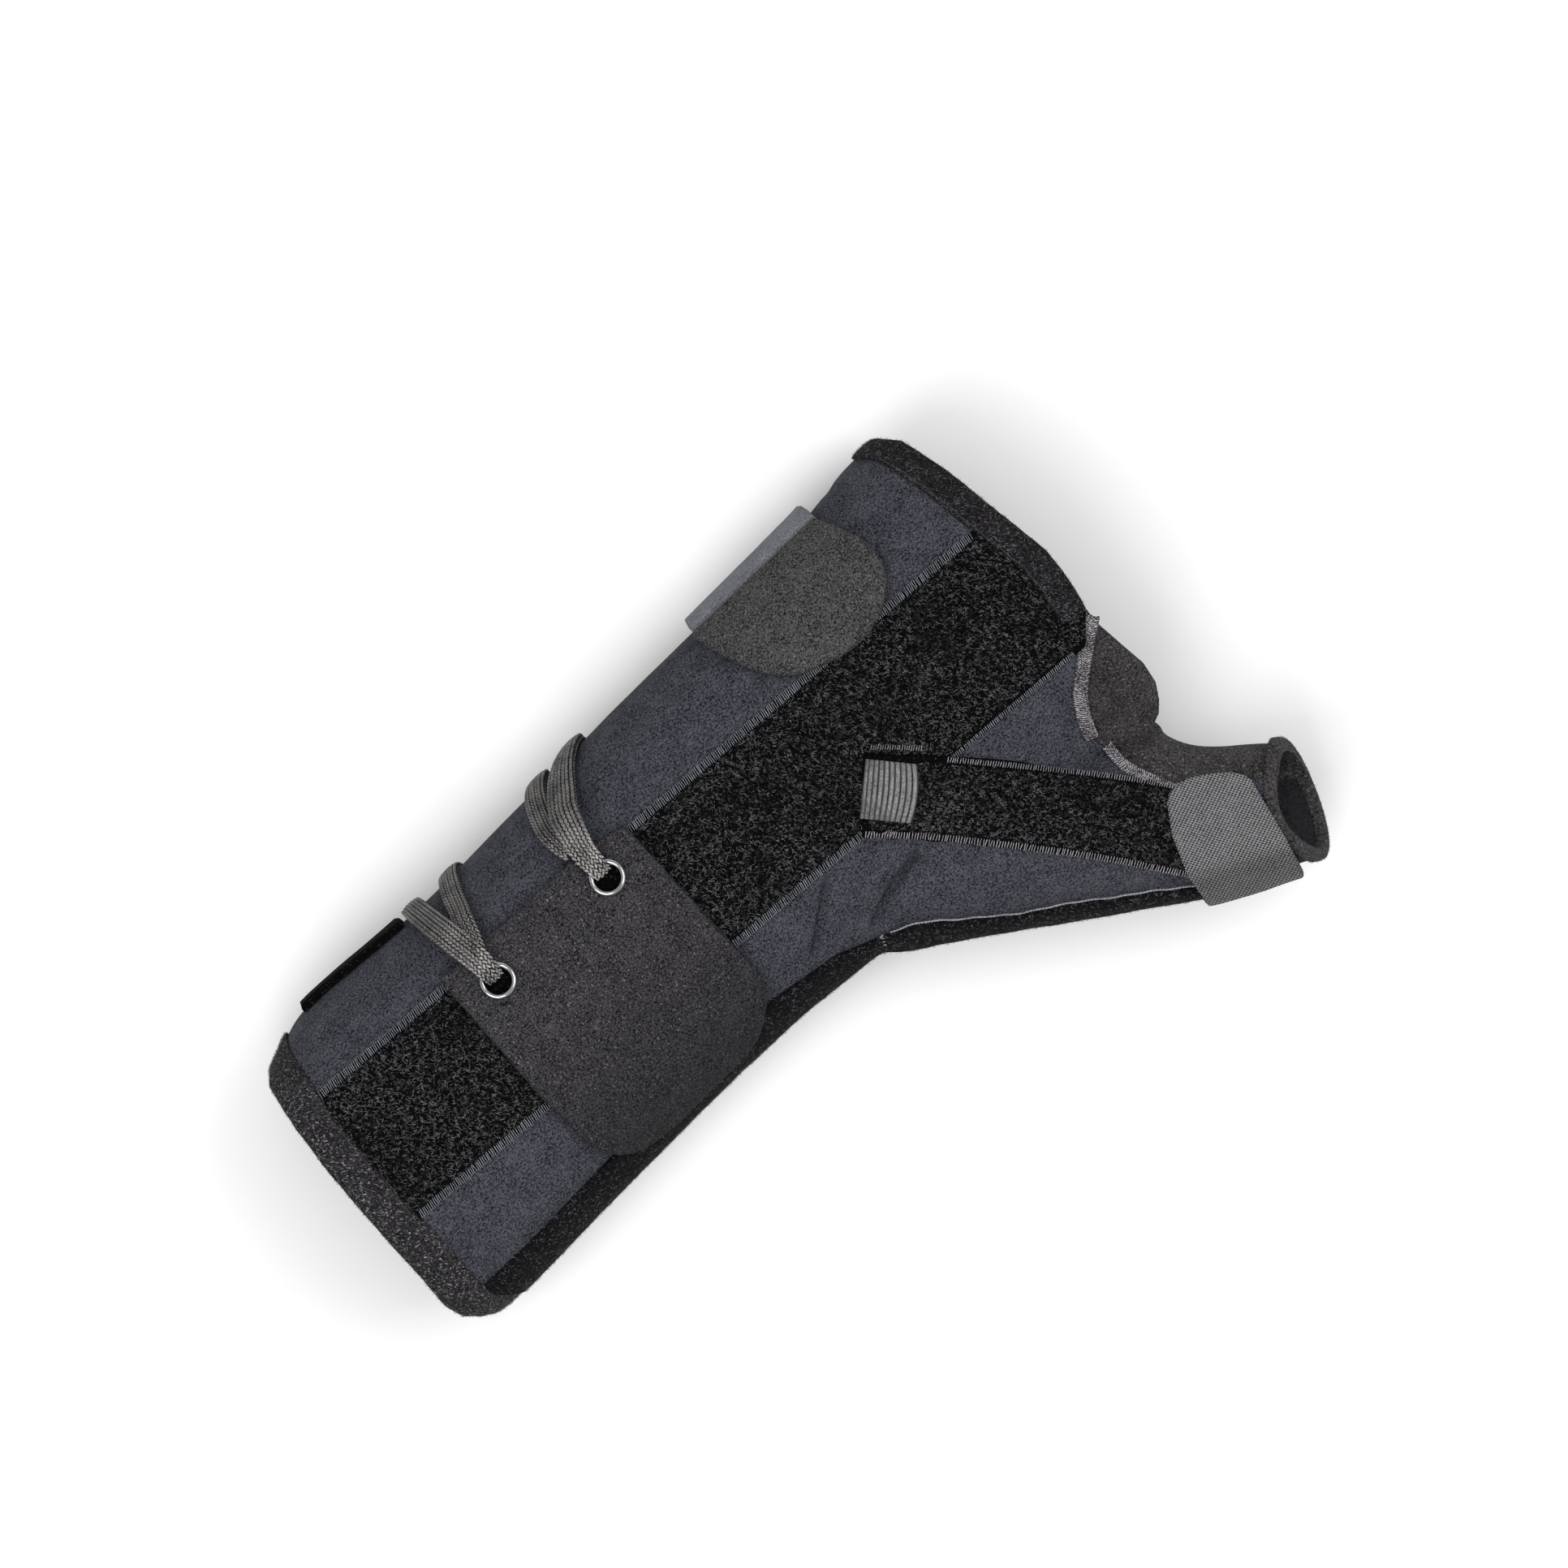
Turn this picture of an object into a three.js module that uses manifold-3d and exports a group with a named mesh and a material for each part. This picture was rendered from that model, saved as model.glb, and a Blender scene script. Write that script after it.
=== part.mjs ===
// Thumb spica splint for a right hand, lying on its back with the palm side up.
// Millimetres. +X runs from the forearm to the fingers, +Y to the little-finger side, +Z up out of the palm.
import * as THREE from "three";
import { mergeVertices } from "three/addons/utils/BufferGeometryUtils.js";
import Module from "manifold-3d";

const wasm = await Module();
wasm.setup();

// Sleeve
const sleeveLength = 200; // forearm edge to the seam of the finger binding
const sleeveWidth = 80; // across the forearm, the measure of the plan outlines
const ulnarReach = 41; // middle line to the little-finger side
const radialReach = 39; // middle line to the thumb side
const sleeveDepth = 56; // flat back to the palm face at the forearm
const widestShare = 0.47; // height of the widest line in a section, share of its depth
const roundness = 0.8; // power of the section curve, 1 is an ellipse
const laminate = 3; // foam laminate wall
const slitWidth = 8; // closing slit along the back
const slitAcross = 12; // middle of the slit from the middle line

// Thumb
const thumbAngle = 37; // degrees from the forearm's line
const thumbRootAlong = 131;
const thumbRootAcross = 19;
const thumbLength = 107; // root to the middle of the thumb opening
const thumbReach = 17; // half width of the tube under its strap
const thumbRimSkew = 12; // degrees that the opening turns back from the thumb's line
const thumbRimTilt = 14; // degrees that the opening leans open on the palm side

// Coverings
const gap = 0.3; // between pieces that touch
const stripThickness = 1.3; // loop pile strips and bindings
const strapThickness = 1.5; // straps and the pull tab
const webThickness = 1.6; // stretch fabric in the web
const forearmBindingWidth = 9.2;
const fingerBindingWidth = 7.4;
const thumbBindingWidth = 4;
const palmarStripWidth = 37;
const thumbStripWidth = 19;
const stayTabLength = 13.3;
const stayTabWidth = 12.4;
const stayTabThickness = 1.2;
const stayTabAlong = 6; // its end from the thumb's root
const stayTabSide = 12.8; // its middle from the thumb's line
const stayTabTurn = 1.8; // by which it slants to the thumb's line
const radialBandReach = 33; // from the middle line to the band's stitched edge at the forearm
const proximalStrapWidth = 30;
const proximalStrapAlong = 17.5;
const distalStrapWidth = 39.5;
const distalStrapAlong = 140.5;
const strapSeamAcross = 42.3; // seam between the palm strap's tab and its band
const strapCorner = 2.6; // rounding of the strap where it turns round the sleeve
const proximalStrapAcross = 40; // end of the back strap over the little-finger side
const backStrapReach = 25; // of the back straps past the middle line to the thumb side

// Pull tab, eyelets and laces
const pullTabLength = 55; // along the forearm
const pullTabAlong = 44.5;
const eyeletBore = 3; // radius
const eyeletBarrel = 0.4; // barrel wall
const eyeletRadius = 4.5; // flange
const eyeletFlange = 0.7; // flange thickness
const eyeletSeat = 0.4; // flange over the curved tab
const proximalEyeletAlong = 55;
const distalEyeletAlong = 88.9;
const eyeletAcross = 13.5;
const laceThickness = 1.3;
const laceStandOff = 0.5; // lace over the sleeve
const anchorWidth = 20;
const anchorAcross = 4; // anchor's edge past the middle line to the thumb side
const anchorLap = 2.5; // of the anchor past the outer laces

const around = 36; // facets round the sleeve
const thumbAround = 24; // facets round the thumb
const far = 400; // longer than anything here

// Heights over the laminate of what lies on it
const strapBase = gap + stripThickness + gap;
const strapTop = strapBase + strapThickness;
const stripTop = gap + stripThickness;

// Sleeve sections: share of sleeveLength, of ulnarReach, of radialReach, of sleeveDepth
const sleeveSections = [
  [-0.13, 0.84, 1.02, 1.0],
  [0.0, 0.84, 1.02, 1.0],
  [0.035, 0.88, 1.03, 1.0],
  [0.06, 0.965, 1.03, 0.995],
  [0.1, 0.985, 1.02, 0.985],
  [0.225, 0.951, 0.992, 0.96],
  [0.3, 0.946, 0.98, 0.935],
  [0.4, 0.971, 0.97, 0.905],
  [0.5, 0.99, 0.972, 0.875],
  [0.59, 1.005, 1.02, 0.85],
  [0.7, 1.015, 1.025, 0.835],
  [0.8, 1.024, 1.05, 0.83],
  [0.9, 1.04, 1.1, 0.82],
  [0.955, 1.095, 1.16, 0.8],
  [1.0, 1.09, 1.2, 0.785],
  [1.06, 1.08, 1.23, 0.77],
  [1.2, 1.08, 1.24, 0.765],
];

// Thumb sections: share of thumbLength, then of thumbReach on the outer side, on the web side
// and in height, then the middle's height as a share of sleeveDepth
const thumbSections = [
  [0.0, 1.22, 1.0, 0.88, 0.43],
  [0.11, 1.33, 1.12, 1.03, 0.44],
  [0.19, 1.27, 1.15, 1.1, 0.45],
  [0.32, 1.215, 1.18, 1.15, 0.46],
  [0.45, 1.17, 1.18, 1.13, 0.465],
  [0.58, 1.13, 1.2, 1.07, 0.47],
  [0.66, 1.105, 1.265, 1.01, 0.475],
  [0.7, 1.1, 1.235, 0.98, 0.48],
  [0.745, 1.085, 1.02, 0.94, 0.48],
  [0.785, 1.05, 0.935, 0.91, 0.485],
  [0.86, 0.97, 0.91, 0.875, 0.49],
  [0.935, 0.86, 0.895, 0.85, 0.495],
  [1.0, 0.77, 0.84, 0.824, 0.5],
  [1.3, 0.735, 0.8, 0.81, 0.5],
];

// Plan outlines: share of sleeveLength along, share of sleeveWidth across
const forearmRim = [
  [0.03, 0.75],
  [0.012, 0.45],
  [0.0, 0.41],
  [-0.0075, 0.275],
  [-0.0125, 0.15],
  [-0.016, 0.01],
  [-0.0185, -0.125],
  [-0.02, -0.275],
  [-0.024, -0.4],
  [-0.019, -0.45],
  [-0.0075, -0.48],
  [0.0075, -0.505],
  [0.02, -0.75],
];
const fingerRim = [
  [0.99, 0.75],
  [1.0135, 0.556],
  [1.03, 0.506],
  [1.0365, 0.4375],
  [1.043, 0.3575],
  [1.0475, 0.2675],
  [1.0525, 0.165],
  [1.058, 0.0625],
  [1.0615, -0.006],
  [1.059, -0.085],
  [1.0545, -0.154],
  [1.049, -0.2125],
];
const webRim = [
  [1.0475, -0.2625],
  [1.0515, -0.369],
  [1.0545, -0.4375],
  [1.05, -0.506],
  [1.04, -0.55],
  [1.03, -0.58],
  [1.016, -0.591],
  [1.0, -0.75],
];
const webSeam = [
  [1.3, -0.21],
  [1.0475, -0.21],
  [1.0225, -0.279],
  [0.991, -0.33],
  [0.968, -0.369],
  [0.9545, -0.42],
  [0.9525, -0.4825],
  [0.957, -0.54],
  [0.957, -0.6075],
  [0.968, -0.67],
  [0.982, -0.75],
];
const radialBandEdge = [
  [0.5, 0.0],
  [0.573, -0.024],
  [0.61, -0.059],
  [0.655, -0.103],
  [0.695, -0.182],
  [0.75, -0.29],
  [0.795, -0.358],
  [0.845, -0.45],
  [0.9, -0.546],
  [0.96, -0.66],
];
const palmTabEdge = [
  [0.0, -0.04],
  [0.055, -0.166],
  [0.1, -0.24],
  [0.17, -0.29],
  [0.24, -0.33],
  [0.34, -0.358],
  [0.53, -0.36],
  [0.68, -0.351],
  [0.86, -0.323],
  [0.95, -0.27],
  [1.035, -0.183],
  [1.09, -0.115],
  [1.055, -0.045],
];
const pullTabRound = [
  [1.0, -0.31],
  [0.97, -0.37],
  [0.89, -0.42],
  [0.8, -0.457],
  [0.7, -0.468],
  [0.3, -0.472],
  [0.18, -0.465],
  [0.08, -0.44],
  [0.02, -0.4],
  [-0.01, -0.33],
];
// Thumb strap: share of thumbLength from the root, share of thumbReach to the web side
const thumbStrapOutline = [
  [0.86, -3.5],
  [0.795, -2.2],
  [0.765, -1.26],
  [0.725, -0.84],
  [0.7, -0.25],
  [0.697, 0.21],
  [0.715, 0.35],
  [0.755, 0.48],
  [0.805, 0.5],
  [0.865, 0.46],
  [0.905, 0.4],
  [0.918, 0.27],
  [0.942, -0.25],
  [0.95, -0.75],
  [0.975, -1.1],
  [1.02, -3.5],
];

// Laces: from the eyelet round the little-finger side to the anchor. Along in millimetres, turn round
// the section in degrees (90 the palm, 0 the widest line, -90 the back), height over the laminate, width
const laceThrough = [
  [0.0, 75.2, 2.6, 3.8],
  [0.0, 75.0, 4.0, 3.8],
  [0.0, 74.2, 5.1, 3.9],
  [0.0, 72.2, 5.5, 4.6],
  [-0.1, 67.5, 5.5, 5.4],
];
const proximalFront = [
  [-1.0, 58, 4.6, 6.0],
  [-1.4, 51, 4.3, 6.0],
  [-1.8, 44, 2.6, 5.9],
  [-2.4, 32, 1.3, 5.7],
  [-3.0, 20, 1.15, 5.4],
  [-3.4, 8, 1.15, 5.2],
  [-3.6, -4, 1.15, 5.2],
];
const proximalBehind = [
  [1.6, 62, 4.5, 5.0],
  [2.4, 56, 4.4, 5.4],
  [3.0, 50, 4.2, 5.5],
  [3.7, 43, 2.5, 5.6],
  [4.6, 32, 1.3, 5.8],
  [5.8, 20, 1.15, 6.0],
  [6.9, 8, 1.15, 6.2],
  [7.6, -4, 1.15, 6.2],
];
const distalFront = [
  [1.6, 58, 4.6, 7.6],
  [2.8, 51, 4.3, 8.0],
  [4.4, 44, 2.6, 7.6],
  [6.9, 33, 1.3, 7.4],
  [9.6, 22, 1.15, 7.6],
  [12.4, 10, 1.15, 8.0],
  [14.6, -2, 1.15, 8.0],
];
const distalBehind = [
  [-0.4, 62, 4.5, 5.0],
  [-0.4, 56, 4.4, 5.4],
  [-0.2, 50, 4.2, 5.5],
  [0.2, 43, 2.5, 5.4],
  [1.0, 32, 1.3, 5.4],
  [2.4, 20, 1.15, 5.8],
  [3.9, 8, 1.15, 6.2],
  [4.8, -4, 1.15, 6.2],
];
const laceTurns = [-14, -23, -31, -38, -45, -52, -60, -66]; // stations round the back's edge, degrees

function planPoints(rows) {
  return rows.map(([along, across]) => [along * sleeveLength, across * sleeveWidth]);
}

function shifted(points, along, across = 0) {
  return points.map(([x, y]) => [x + along, y + across]);
}

// A closed outline moved outwards by a distance
function grown(points, distance) {
  const ring = THREE.ShapeUtils.area(points.map(([x, y]) => ({ x, y }))) > 0 ? points : [...points].reverse();
  return ring.map(([x, y], i) => {
    const [x0, y0] = ring[(i + ring.length - 1) % ring.length];
    const [x1, y1] = ring[(i + 1) % ring.length];
    const before = new THREE.Vector2(y - y0, x0 - x).normalize();
    const after = new THREE.Vector2(y1 - y, x - x1).normalize();
    const out = before.clone().add(after).normalize();
    const reach = distance / Math.max(out.dot(after), 0.5);
    return [x + out.x * reach, y + out.y * reach];
  });
}

// A closed solid from a geometry of three.js
function solid(geometry) {
  const bare = geometry.clone();
  bare.deleteAttribute("normal");
  bare.deleteAttribute("uv");
  const merged = mergeVertices(bare, 1e-4);
  const mesh = new wasm.Mesh({
    numProp: 3,
    vertProperties: new Float32Array(merged.attributes.position.array),
    triVerts: new Uint32Array(merged.index.array),
  });
  return new wasm.Manifold(mesh);
}

// A solid skinned over rings of equal count, closed by fans at both ends
function loft(rings) {
  const count = rings[0].length;
  const index = [];
  for (let ring = 0; ring + 1 < rings.length; ring += 1) {
    for (let i = 0; i < count; i += 1) {
      const a = ring * count + i;
      const b = ring * count + ((i + 1) % count);
      index.push(a, b, b + count, a, b + count, a + count);
    }
  }
  const last = (rings.length - 1) * count;
  for (let i = 1; i + 1 < count; i += 1) {
    index.push(0, i + 1, i, last, last + i, last + i + 1);
  }
  const geometry = new THREE.BufferGeometry().setFromPoints(rings.flat());
  geometry.setIndex(index);
  return solid(geometry);
}

function prism(points, low, high) {
  const shape = new THREE.Shape(points.map(([x, y]) => new THREE.Vector2(x, y)));
  const geometry = new THREE.ExtrudeGeometry(shape, { depth: high - low, bevelEnabled: false });
  geometry.translate(0, 0, low);
  return solid(geometry);
}

function rounded(value) {
  return Math.sign(value) * Math.abs(value) ** roundness;
}

// A point of a sleeve section at an angle, height off over the laminate, back under its flat back
function sectionPoint([along, ulnar, radial, depth], angle, off, back) {
  const widest = depth * sleeveDepth * widestShare;
  const half = depth * sleeveDepth - widest + off;
  const side = Math.cos(angle) >= 0 ? ulnar * ulnarReach : radial * radialReach;
  const y = rounded(Math.cos(angle)) * (side + off);
  const z = widest + rounded(Math.sin(angle)) * half;
  return new THREE.Vector3(along * sleeveLength, y, Math.max(z, -back));
}

function sectionAt(x) {
  const share = x / sleeveLength;
  const next = sleeveSections.findIndex((row) => row[0] > share);
  const low = sleeveSections[next - 1];
  const high = sleeveSections[next];
  const part = (share - low[0]) / (high[0] - low[0]);
  return low.map((value, i) => value + part * (high[i] - value));
}

const thumbLine = THREE.MathUtils.degToRad(-thumbAngle);
const thumbRoot = new THREE.Vector3(thumbRootAlong, -thumbRootAcross, 0);
const thumbWay = new THREE.Vector3(Math.cos(thumbLine), Math.sin(thumbLine), 0);
const thumbSide = new THREE.Vector3(-Math.sin(thumbLine), Math.cos(thumbLine), 0);

function thumbPlan(along, side) {
  const point = thumbRoot.clone().addScaledVector(thumbWay, along).addScaledVector(thumbSide, side);
  return [point.x, point.y];
}

function thumbRing([along, outer, web, height, middle], off) {
  const ring = [];
  for (let i = 0; i < thumbAround; i += 1) {
    const angle = (2 * Math.PI * i) / thumbAround;
    const side = (Math.cos(angle) >= 0 ? web : outer) * thumbReach + off;
    const [x, y] = thumbPlan(along * thumbLength, Math.cos(angle) * side);
    ring.push(new THREE.Vector3(x, y, middle * sleeveDepth + Math.sin(angle) * (height * thumbReach + off)));
  }
  return ring;
}

function sleeveRing(row, off, back) {
  const ring = [];
  for (let i = 0; i < around; i += 1) {
    ring.push(sectionPoint(row, (2 * Math.PI * i) / around, off, back));
  }
  return ring;
}

const sleeveSkin = (off, back = off) => loft(sleeveSections.map((row) => sleeveRing(row, off, back)));
const thumbSkin = (off) => loft(thumbSections.map((row) => thumbRing(row, off)));

// Heights used by the cutters
const low = -sleeveDepth;
const high = 2 * sleeveDepth;
const widestHeight = sleeveDepth * widestShare * 0.83;

// What lies on the palm side of the sleeve's plan, between its two rims
const forearmEdge = planPoints(forearmRim);
const fingerEdge = planPoints(fingerRim);
const webEdge = planPoints(webRim);
const thumbOpening = thumbSections.findLast(([along]) => along === 1);

function sleevePlan(fromForearm, fromFingers) {
  const start = shifted(forearmEdge, fromForearm);
  const end = [...shifted(fingerEdge, -fromFingers), ...webEdge];
  return prism([...start.reverse(), ...end], low, high);
}

// Everything on the root side of the thumb opening, less a distance
function thumbPlanCut(less) {
  const box = new THREE.BoxGeometry(far, far, far);
  box.translate(-far / 2 - less, 0, 0);
  box.rotateY(THREE.MathUtils.degToRad(-thumbRimTilt));
  box.rotateZ(THREE.MathUtils.degToRad(thumbRimSkew - thumbAngle));
  const [x, y] = thumbPlan(thumbLength, 0);
  box.translate(x, y, thumbOpening[4] * sleeveDepth);
  return solid(box);
}

// The outside of sleeve and thumb together at one height over the laminate
function outside(off, back = off, ends = [0, 0, 0]) {
  const sleeve = sleeveSkin(off, back).intersect(sleevePlan(ends[0], ends[1]));
  return sleeve.add(thumbSkin(off).intersect(thumbPlanCut(ends[2])));
}

const hollow = (off) => sleeveSkin(off, off).add(thumbSkin(off));

const made = new Map();
function whole(off, back = off) {
  const key = off + " " + back;
  if (!made.has(key)) {
    made.set(key, hollow(off).add(sleeveSkin(off, back)));
  }
  return made.get(key);
}

// A covering between two heights over the laminate
const layer = (base, top, back = top) => whole(top, back).subtract(whole(base));

const bindingNose = gap + stripThickness;
const webLine = planPoints(webSeam);
const webEnd = [thumbPlan(thumbLength, 0.39 * thumbReach), thumbPlan(1.3 * thumbLength, 0.39 * thumbReach)];
const webRegion = (grow) => prism(grown([...webLine, ...webEnd], grow), low, high);
const slit = prism(
  [
    [-far, slitAcross - slitWidth / 2],
    [far, slitAcross - slitWidth / 2],
    [far, slitAcross + slitWidth / 2],
    [-far, slitAcross + slitWidth / 2],
  ],
  low,
  widestHeight / 2,
);

// Navy laminate sleeve, open at the forearm, the fingers and the thumb, and slit along the back
const sleeveBody = outside(0, 0, [bindingNose, bindingNose, bindingNose])
  .subtract(hollow(-laminate))
  .subtract(webRegion(gap))
  .subtract(slit);

// Stretch fabric between the palm and the thumb
const webBase = -(laminate + webThickness) / 2;
const webTop = webBase + webThickness;
const webPanel = outside(webTop, webTop, [0, 0, bindingNose])
  .subtract(hollow(webBase))
  .intersect(webRegion(0));

// A binding hugs the sleeve's edge on both faces
const bindingOuter = layer(-laminate - gap - stripThickness, stripTop);
const bindingInner = layer(-laminate - gap, gap);
function rimBand(edge, from, to) {
  return prism([...shifted(edge, from), ...shifted(edge, to).reverse()], low, high);
}
const proximalBinding = bindingOuter
  .intersect(rimBand(forearmEdge, 0, forearmBindingWidth))
  .subtract(bindingInner.intersect(rimBand(forearmEdge, stripThickness, forearmBindingWidth + gap)))
  .subtract(slit);
const bindingEnd = prism(
  [
    [0, webLine[1][1] + gap],
    [far, webLine[1][1] + gap],
    [far, far],
    [0, far],
  ],
  low,
  high,
);
const fingerBinding = bindingOuter
  .intersect(rimBand(fingerEdge, -fingerBindingWidth, 0))
  .subtract(bindingInner.intersect(rimBand(fingerEdge, -fingerBindingWidth - gap, -stripThickness)))
  .intersect(bindingEnd)
  .subtract(slit);
const beyondSlit = prism(
  [
    [0, -far],
    [far, -far],
    [far, slitAcross],
    [0, slitAcross],
  ],
  low,
  widestHeight / 2,
);
const distalBinding = fingerBinding.subtract(beyondSlit);
const distalBindingBack = fingerBinding.intersect(beyondSlit);
const thumbTube = (base, top) => thumbSkin(top).subtract(thumbSkin(base));
const thumbRimBinding = thumbTube(-laminate - gap - stripThickness, stripTop)
  .intersect(thumbPlanCut(0))
  .subtract(thumbPlanCut(thumbBindingWidth))
  .subtract(thumbTube(-laminate - gap, gap).intersect(thumbPlanCut(stripThickness)));

// Palmar loop pile strip, slanting a little to the thumb side
const stripSlant = -0.05;
const stripStart = 5.9;
function palmarOutline(grow) {
  const half = palmarStripWidth / 2 + grow;
  const at = (x) => stripStart + stripSlant * x;
  return prism(
    [
      [-far, at(-far) - half],
      [far, at(far) - half],
      [far, at(far) + half],
      [-far, at(-far) + half],
    ],
    widestHeight,
    high,
  );
}
const betweenBindings = prism(
  [
    ...shifted(forearmEdge, forearmBindingWidth + gap).reverse(),
    ...shifted(fingerEdge, -fingerBindingWidth - gap),
    [webLine[5][0] - gap, webLine[5][1]],
    [webLine[9][0] - gap, -far],
  ],
  low,
  high,
);
const palmarStrip = layer(gap, stripTop)
  .intersect(palmarOutline(0))
  .intersect(betweenBindings)
  .subtract(webRegion(gap));

// Thumb loop pile strip, its end lapping onto the palmar strip
const thumbStripLine = [
  [0.055, 0.76],
  [0.22, 0.62],
  [0.35, 0.45],
  [0.5, 0.25],
  [0.62, 0.06],
  [0.72, -0.13],
];
function thumbStripPlan() {
  const middle = thumbStripLine.map(([along, side]) => thumbPlan(along * thumbLength, side * thumbReach));
  const left = [];
  const right = [];
  middle.forEach(([x, y], i) => {
    const [x0, y0] = middle[Math.max(i - 1, 0)];
    const [x1, y1] = middle[Math.min(i + 1, middle.length - 1)];
    const length = Math.hypot(x1 - x0, y1 - y0);
    const sideX = (-(y1 - y0) / length) * (thumbStripWidth / 2);
    const sideY = ((x1 - x0) / length) * (thumbStripWidth / 2);
    left.push([x + sideX, y + sideY]);
    right.push([x - sideX, y - sideY]);
  });
  return [...right, ...left.reverse()];
}
const thumbStripOutline = prism(thumbStripPlan(), widestHeight, high);
const thumbStrip = layer(strapBase, strapBase + stripThickness)
  .intersect(palmarOutline(gap + stripThickness))
  .add(layer(gap, strapBase + stripThickness).intersect(palmarOutline(gap + stripThickness)).subtract(palmarOutline(gap)))
  .add(layer(gap, stripTop).subtract(palmarOutline(gap)))
  .intersect(thumbStripOutline)
  .subtract(webRegion(gap));

// Ribbed tab over the thumb strip's end
const stayTabBase = strapBase + stripThickness + gap;
const stayTab = layer(stayTabBase, stayTabBase + stayTabThickness).intersect(
  prism(
    [
      thumbPlan(stayTabAlong, stayTabSide - stayTabLength / 2),
      thumbPlan(stayTabAlong + stayTabWidth, stayTabSide - stayTabTurn - stayTabLength / 2),
      thumbPlan(stayTabAlong + stayTabWidth, stayTabSide - stayTabTurn + stayTabLength / 2),
      thumbPlan(stayTabAlong, stayTabSide + stayTabLength / 2),
    ],
    widestHeight,
    high,
  ),
);

// Band along the thumb side, from the forearm binding to the thumb strap
const bandLine = radialBandEdge.map(([along, across]) => [
  along * sleeveLength,
  across * sleeveWidth - radialBandReach,
]);
const thumbStrapPlan = thumbStrapOutline.map(([along, side]) => thumbPlan(along * thumbLength, side * thumbReach));
const thumbStrapRegion = prism(thumbStrapPlan, low, high);
const bandLow = widestHeight - sleeveDepth / 8;
const radialBinding = layer(gap, stripTop)
  .intersect(prism([[-far, -radialBandReach], ...bandLine, [bandLine.at(-1)[0], -far], [-far, -far]], bandLow, high))
  .intersect(betweenBindings)
  .subtract(prism(grown(thumbStrapPlan, gap), low, high));

// Straps
const thumbStrap = layer(strapBase, strapTop).intersect(thumbStrapRegion);
const tabShape = palmTabEdge.map(([along, across]) => [
  distalStrapAlong + along * distalStrapWidth,
  strapSeamAcross + across * sleeveWidth,
]);
const tabEnds = [
  [distalStrapAlong + distalStrapWidth, strapSeamAcross],
  [distalStrapAlong, strapSeamAcross],
];
const distalStrapTab = layer(strapBase, strapTop).intersect(prism([...tabShape, ...tabEnds], widestHeight, high));
function strapBand(from, width, base, roof, round) {
  const to = from + width;
  const span = (yLow, zLow, zHigh) =>
    prism(
      [
        [from, yLow],
        [to, yLow],
        [to, roof],
        [to - round, roof + round],
        [to - round, far],
        [from + round / 2, far],
        [from + round / 2, roof + round],
        [from, roof],
      ],
      zLow,
      zHigh,
    );
  return base.intersect(span(-backStrapReach, low, widestHeight - gap).add(span(roof, widestHeight - gap - 1, high)));
}
const distalStrapBand = strapBand(
  distalStrapAlong,
  distalStrapWidth,
  layer(gap, strapTop),
  strapSeamAcross + gap,
  strapCorner,
);
const proximalStrap = strapBand(
  proximalStrapAlong,
  proximalStrapWidth,
  layer(gap, gap + strapThickness, strapTop),
  proximalStrapAcross,
  strapCorner / 2,
);

// Pull tab with two seated eyelets
const pullTabPlan = [
  [pullTabAlong, 0.0],
  [pullTabAlong + pullTabLength * 0.018, 0.2975 * sleeveWidth],
  [pullTabAlong + pullTabLength * 0.41, 0.284 * sleeveWidth],
  [pullTabAlong + pullTabLength * 0.74, 0.284 * sleeveWidth],
  [pullTabAlong + pullTabLength * 0.92, 0.265 * sleeveWidth],
  [pullTabAlong + pullTabLength * 1.01, 0.255 * sleeveWidth],
  ...pullTabRound.map(([along, across]) => [pullTabAlong + along * pullTabLength, across * sleeveWidth]),
];

function seat(x, y) {
  const row = sectionAt(x);
  const angle = Math.acos((y / (row[1] * ulnarReach)) ** (1 / roundness));
  const here = sectionPoint(row, angle, 0, 0);
  const next = sectionPoint(row, angle + 0.01, 0, 0);
  const lean = Math.atan2(next.z - here.z, here.y - next.y);
  return { here, lean };
}

function placed(geometry, x, y, height) {
  const { here, lean } = seat(x, y);
  geometry.translate(0, 0, height);
  geometry.rotateX(-lean);
  geometry.translate(here.x, here.y, here.z);
  return solid(geometry);
}

function upright(points) {
  const geometry = new THREE.LatheGeometry(
    points.map(([r, z]) => new THREE.Vector2(r, z)),
    24,
  );
  geometry.rotateX(Math.PI / 2);
  return geometry;
}

function eyelet(x) {
  const top = strapThickness + eyeletSeat + eyeletFlange;
  const barrel = eyeletBore + eyeletBarrel;
  const profile = [
    [eyeletBore, 0],
    [barrel, 0],
    [barrel, strapThickness + eyeletSeat],
    [eyeletRadius, strapThickness + eyeletSeat],
    [eyeletRadius, top - eyeletFlange / 3],
    [(eyeletRadius + eyeletBore) / 2, top],
    [eyeletBore, top - eyeletFlange / 3],
    [eyeletBore, 0],
  ];
  return placed(upright(profile), x, eyeletAcross, strapBase);
}

function eyeletHole(x) {
  const radius = eyeletBore + eyeletBarrel + gap;
  const profile = [
    [0, -strapThickness],
    [radius, -strapThickness],
    [radius, 3 * strapThickness],
    [0, 3 * strapThickness],
  ];
  return placed(upright(profile), x, eyeletAcross, strapBase);
}

const pullTab = layer(strapBase, strapTop)
  .intersect(prism(pullTabPlan.reverse(), widestHeight, high))
  .subtract(eyeletHole(proximalEyeletAlong))
  .subtract(eyeletHole(distalEyeletAlong));

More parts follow.
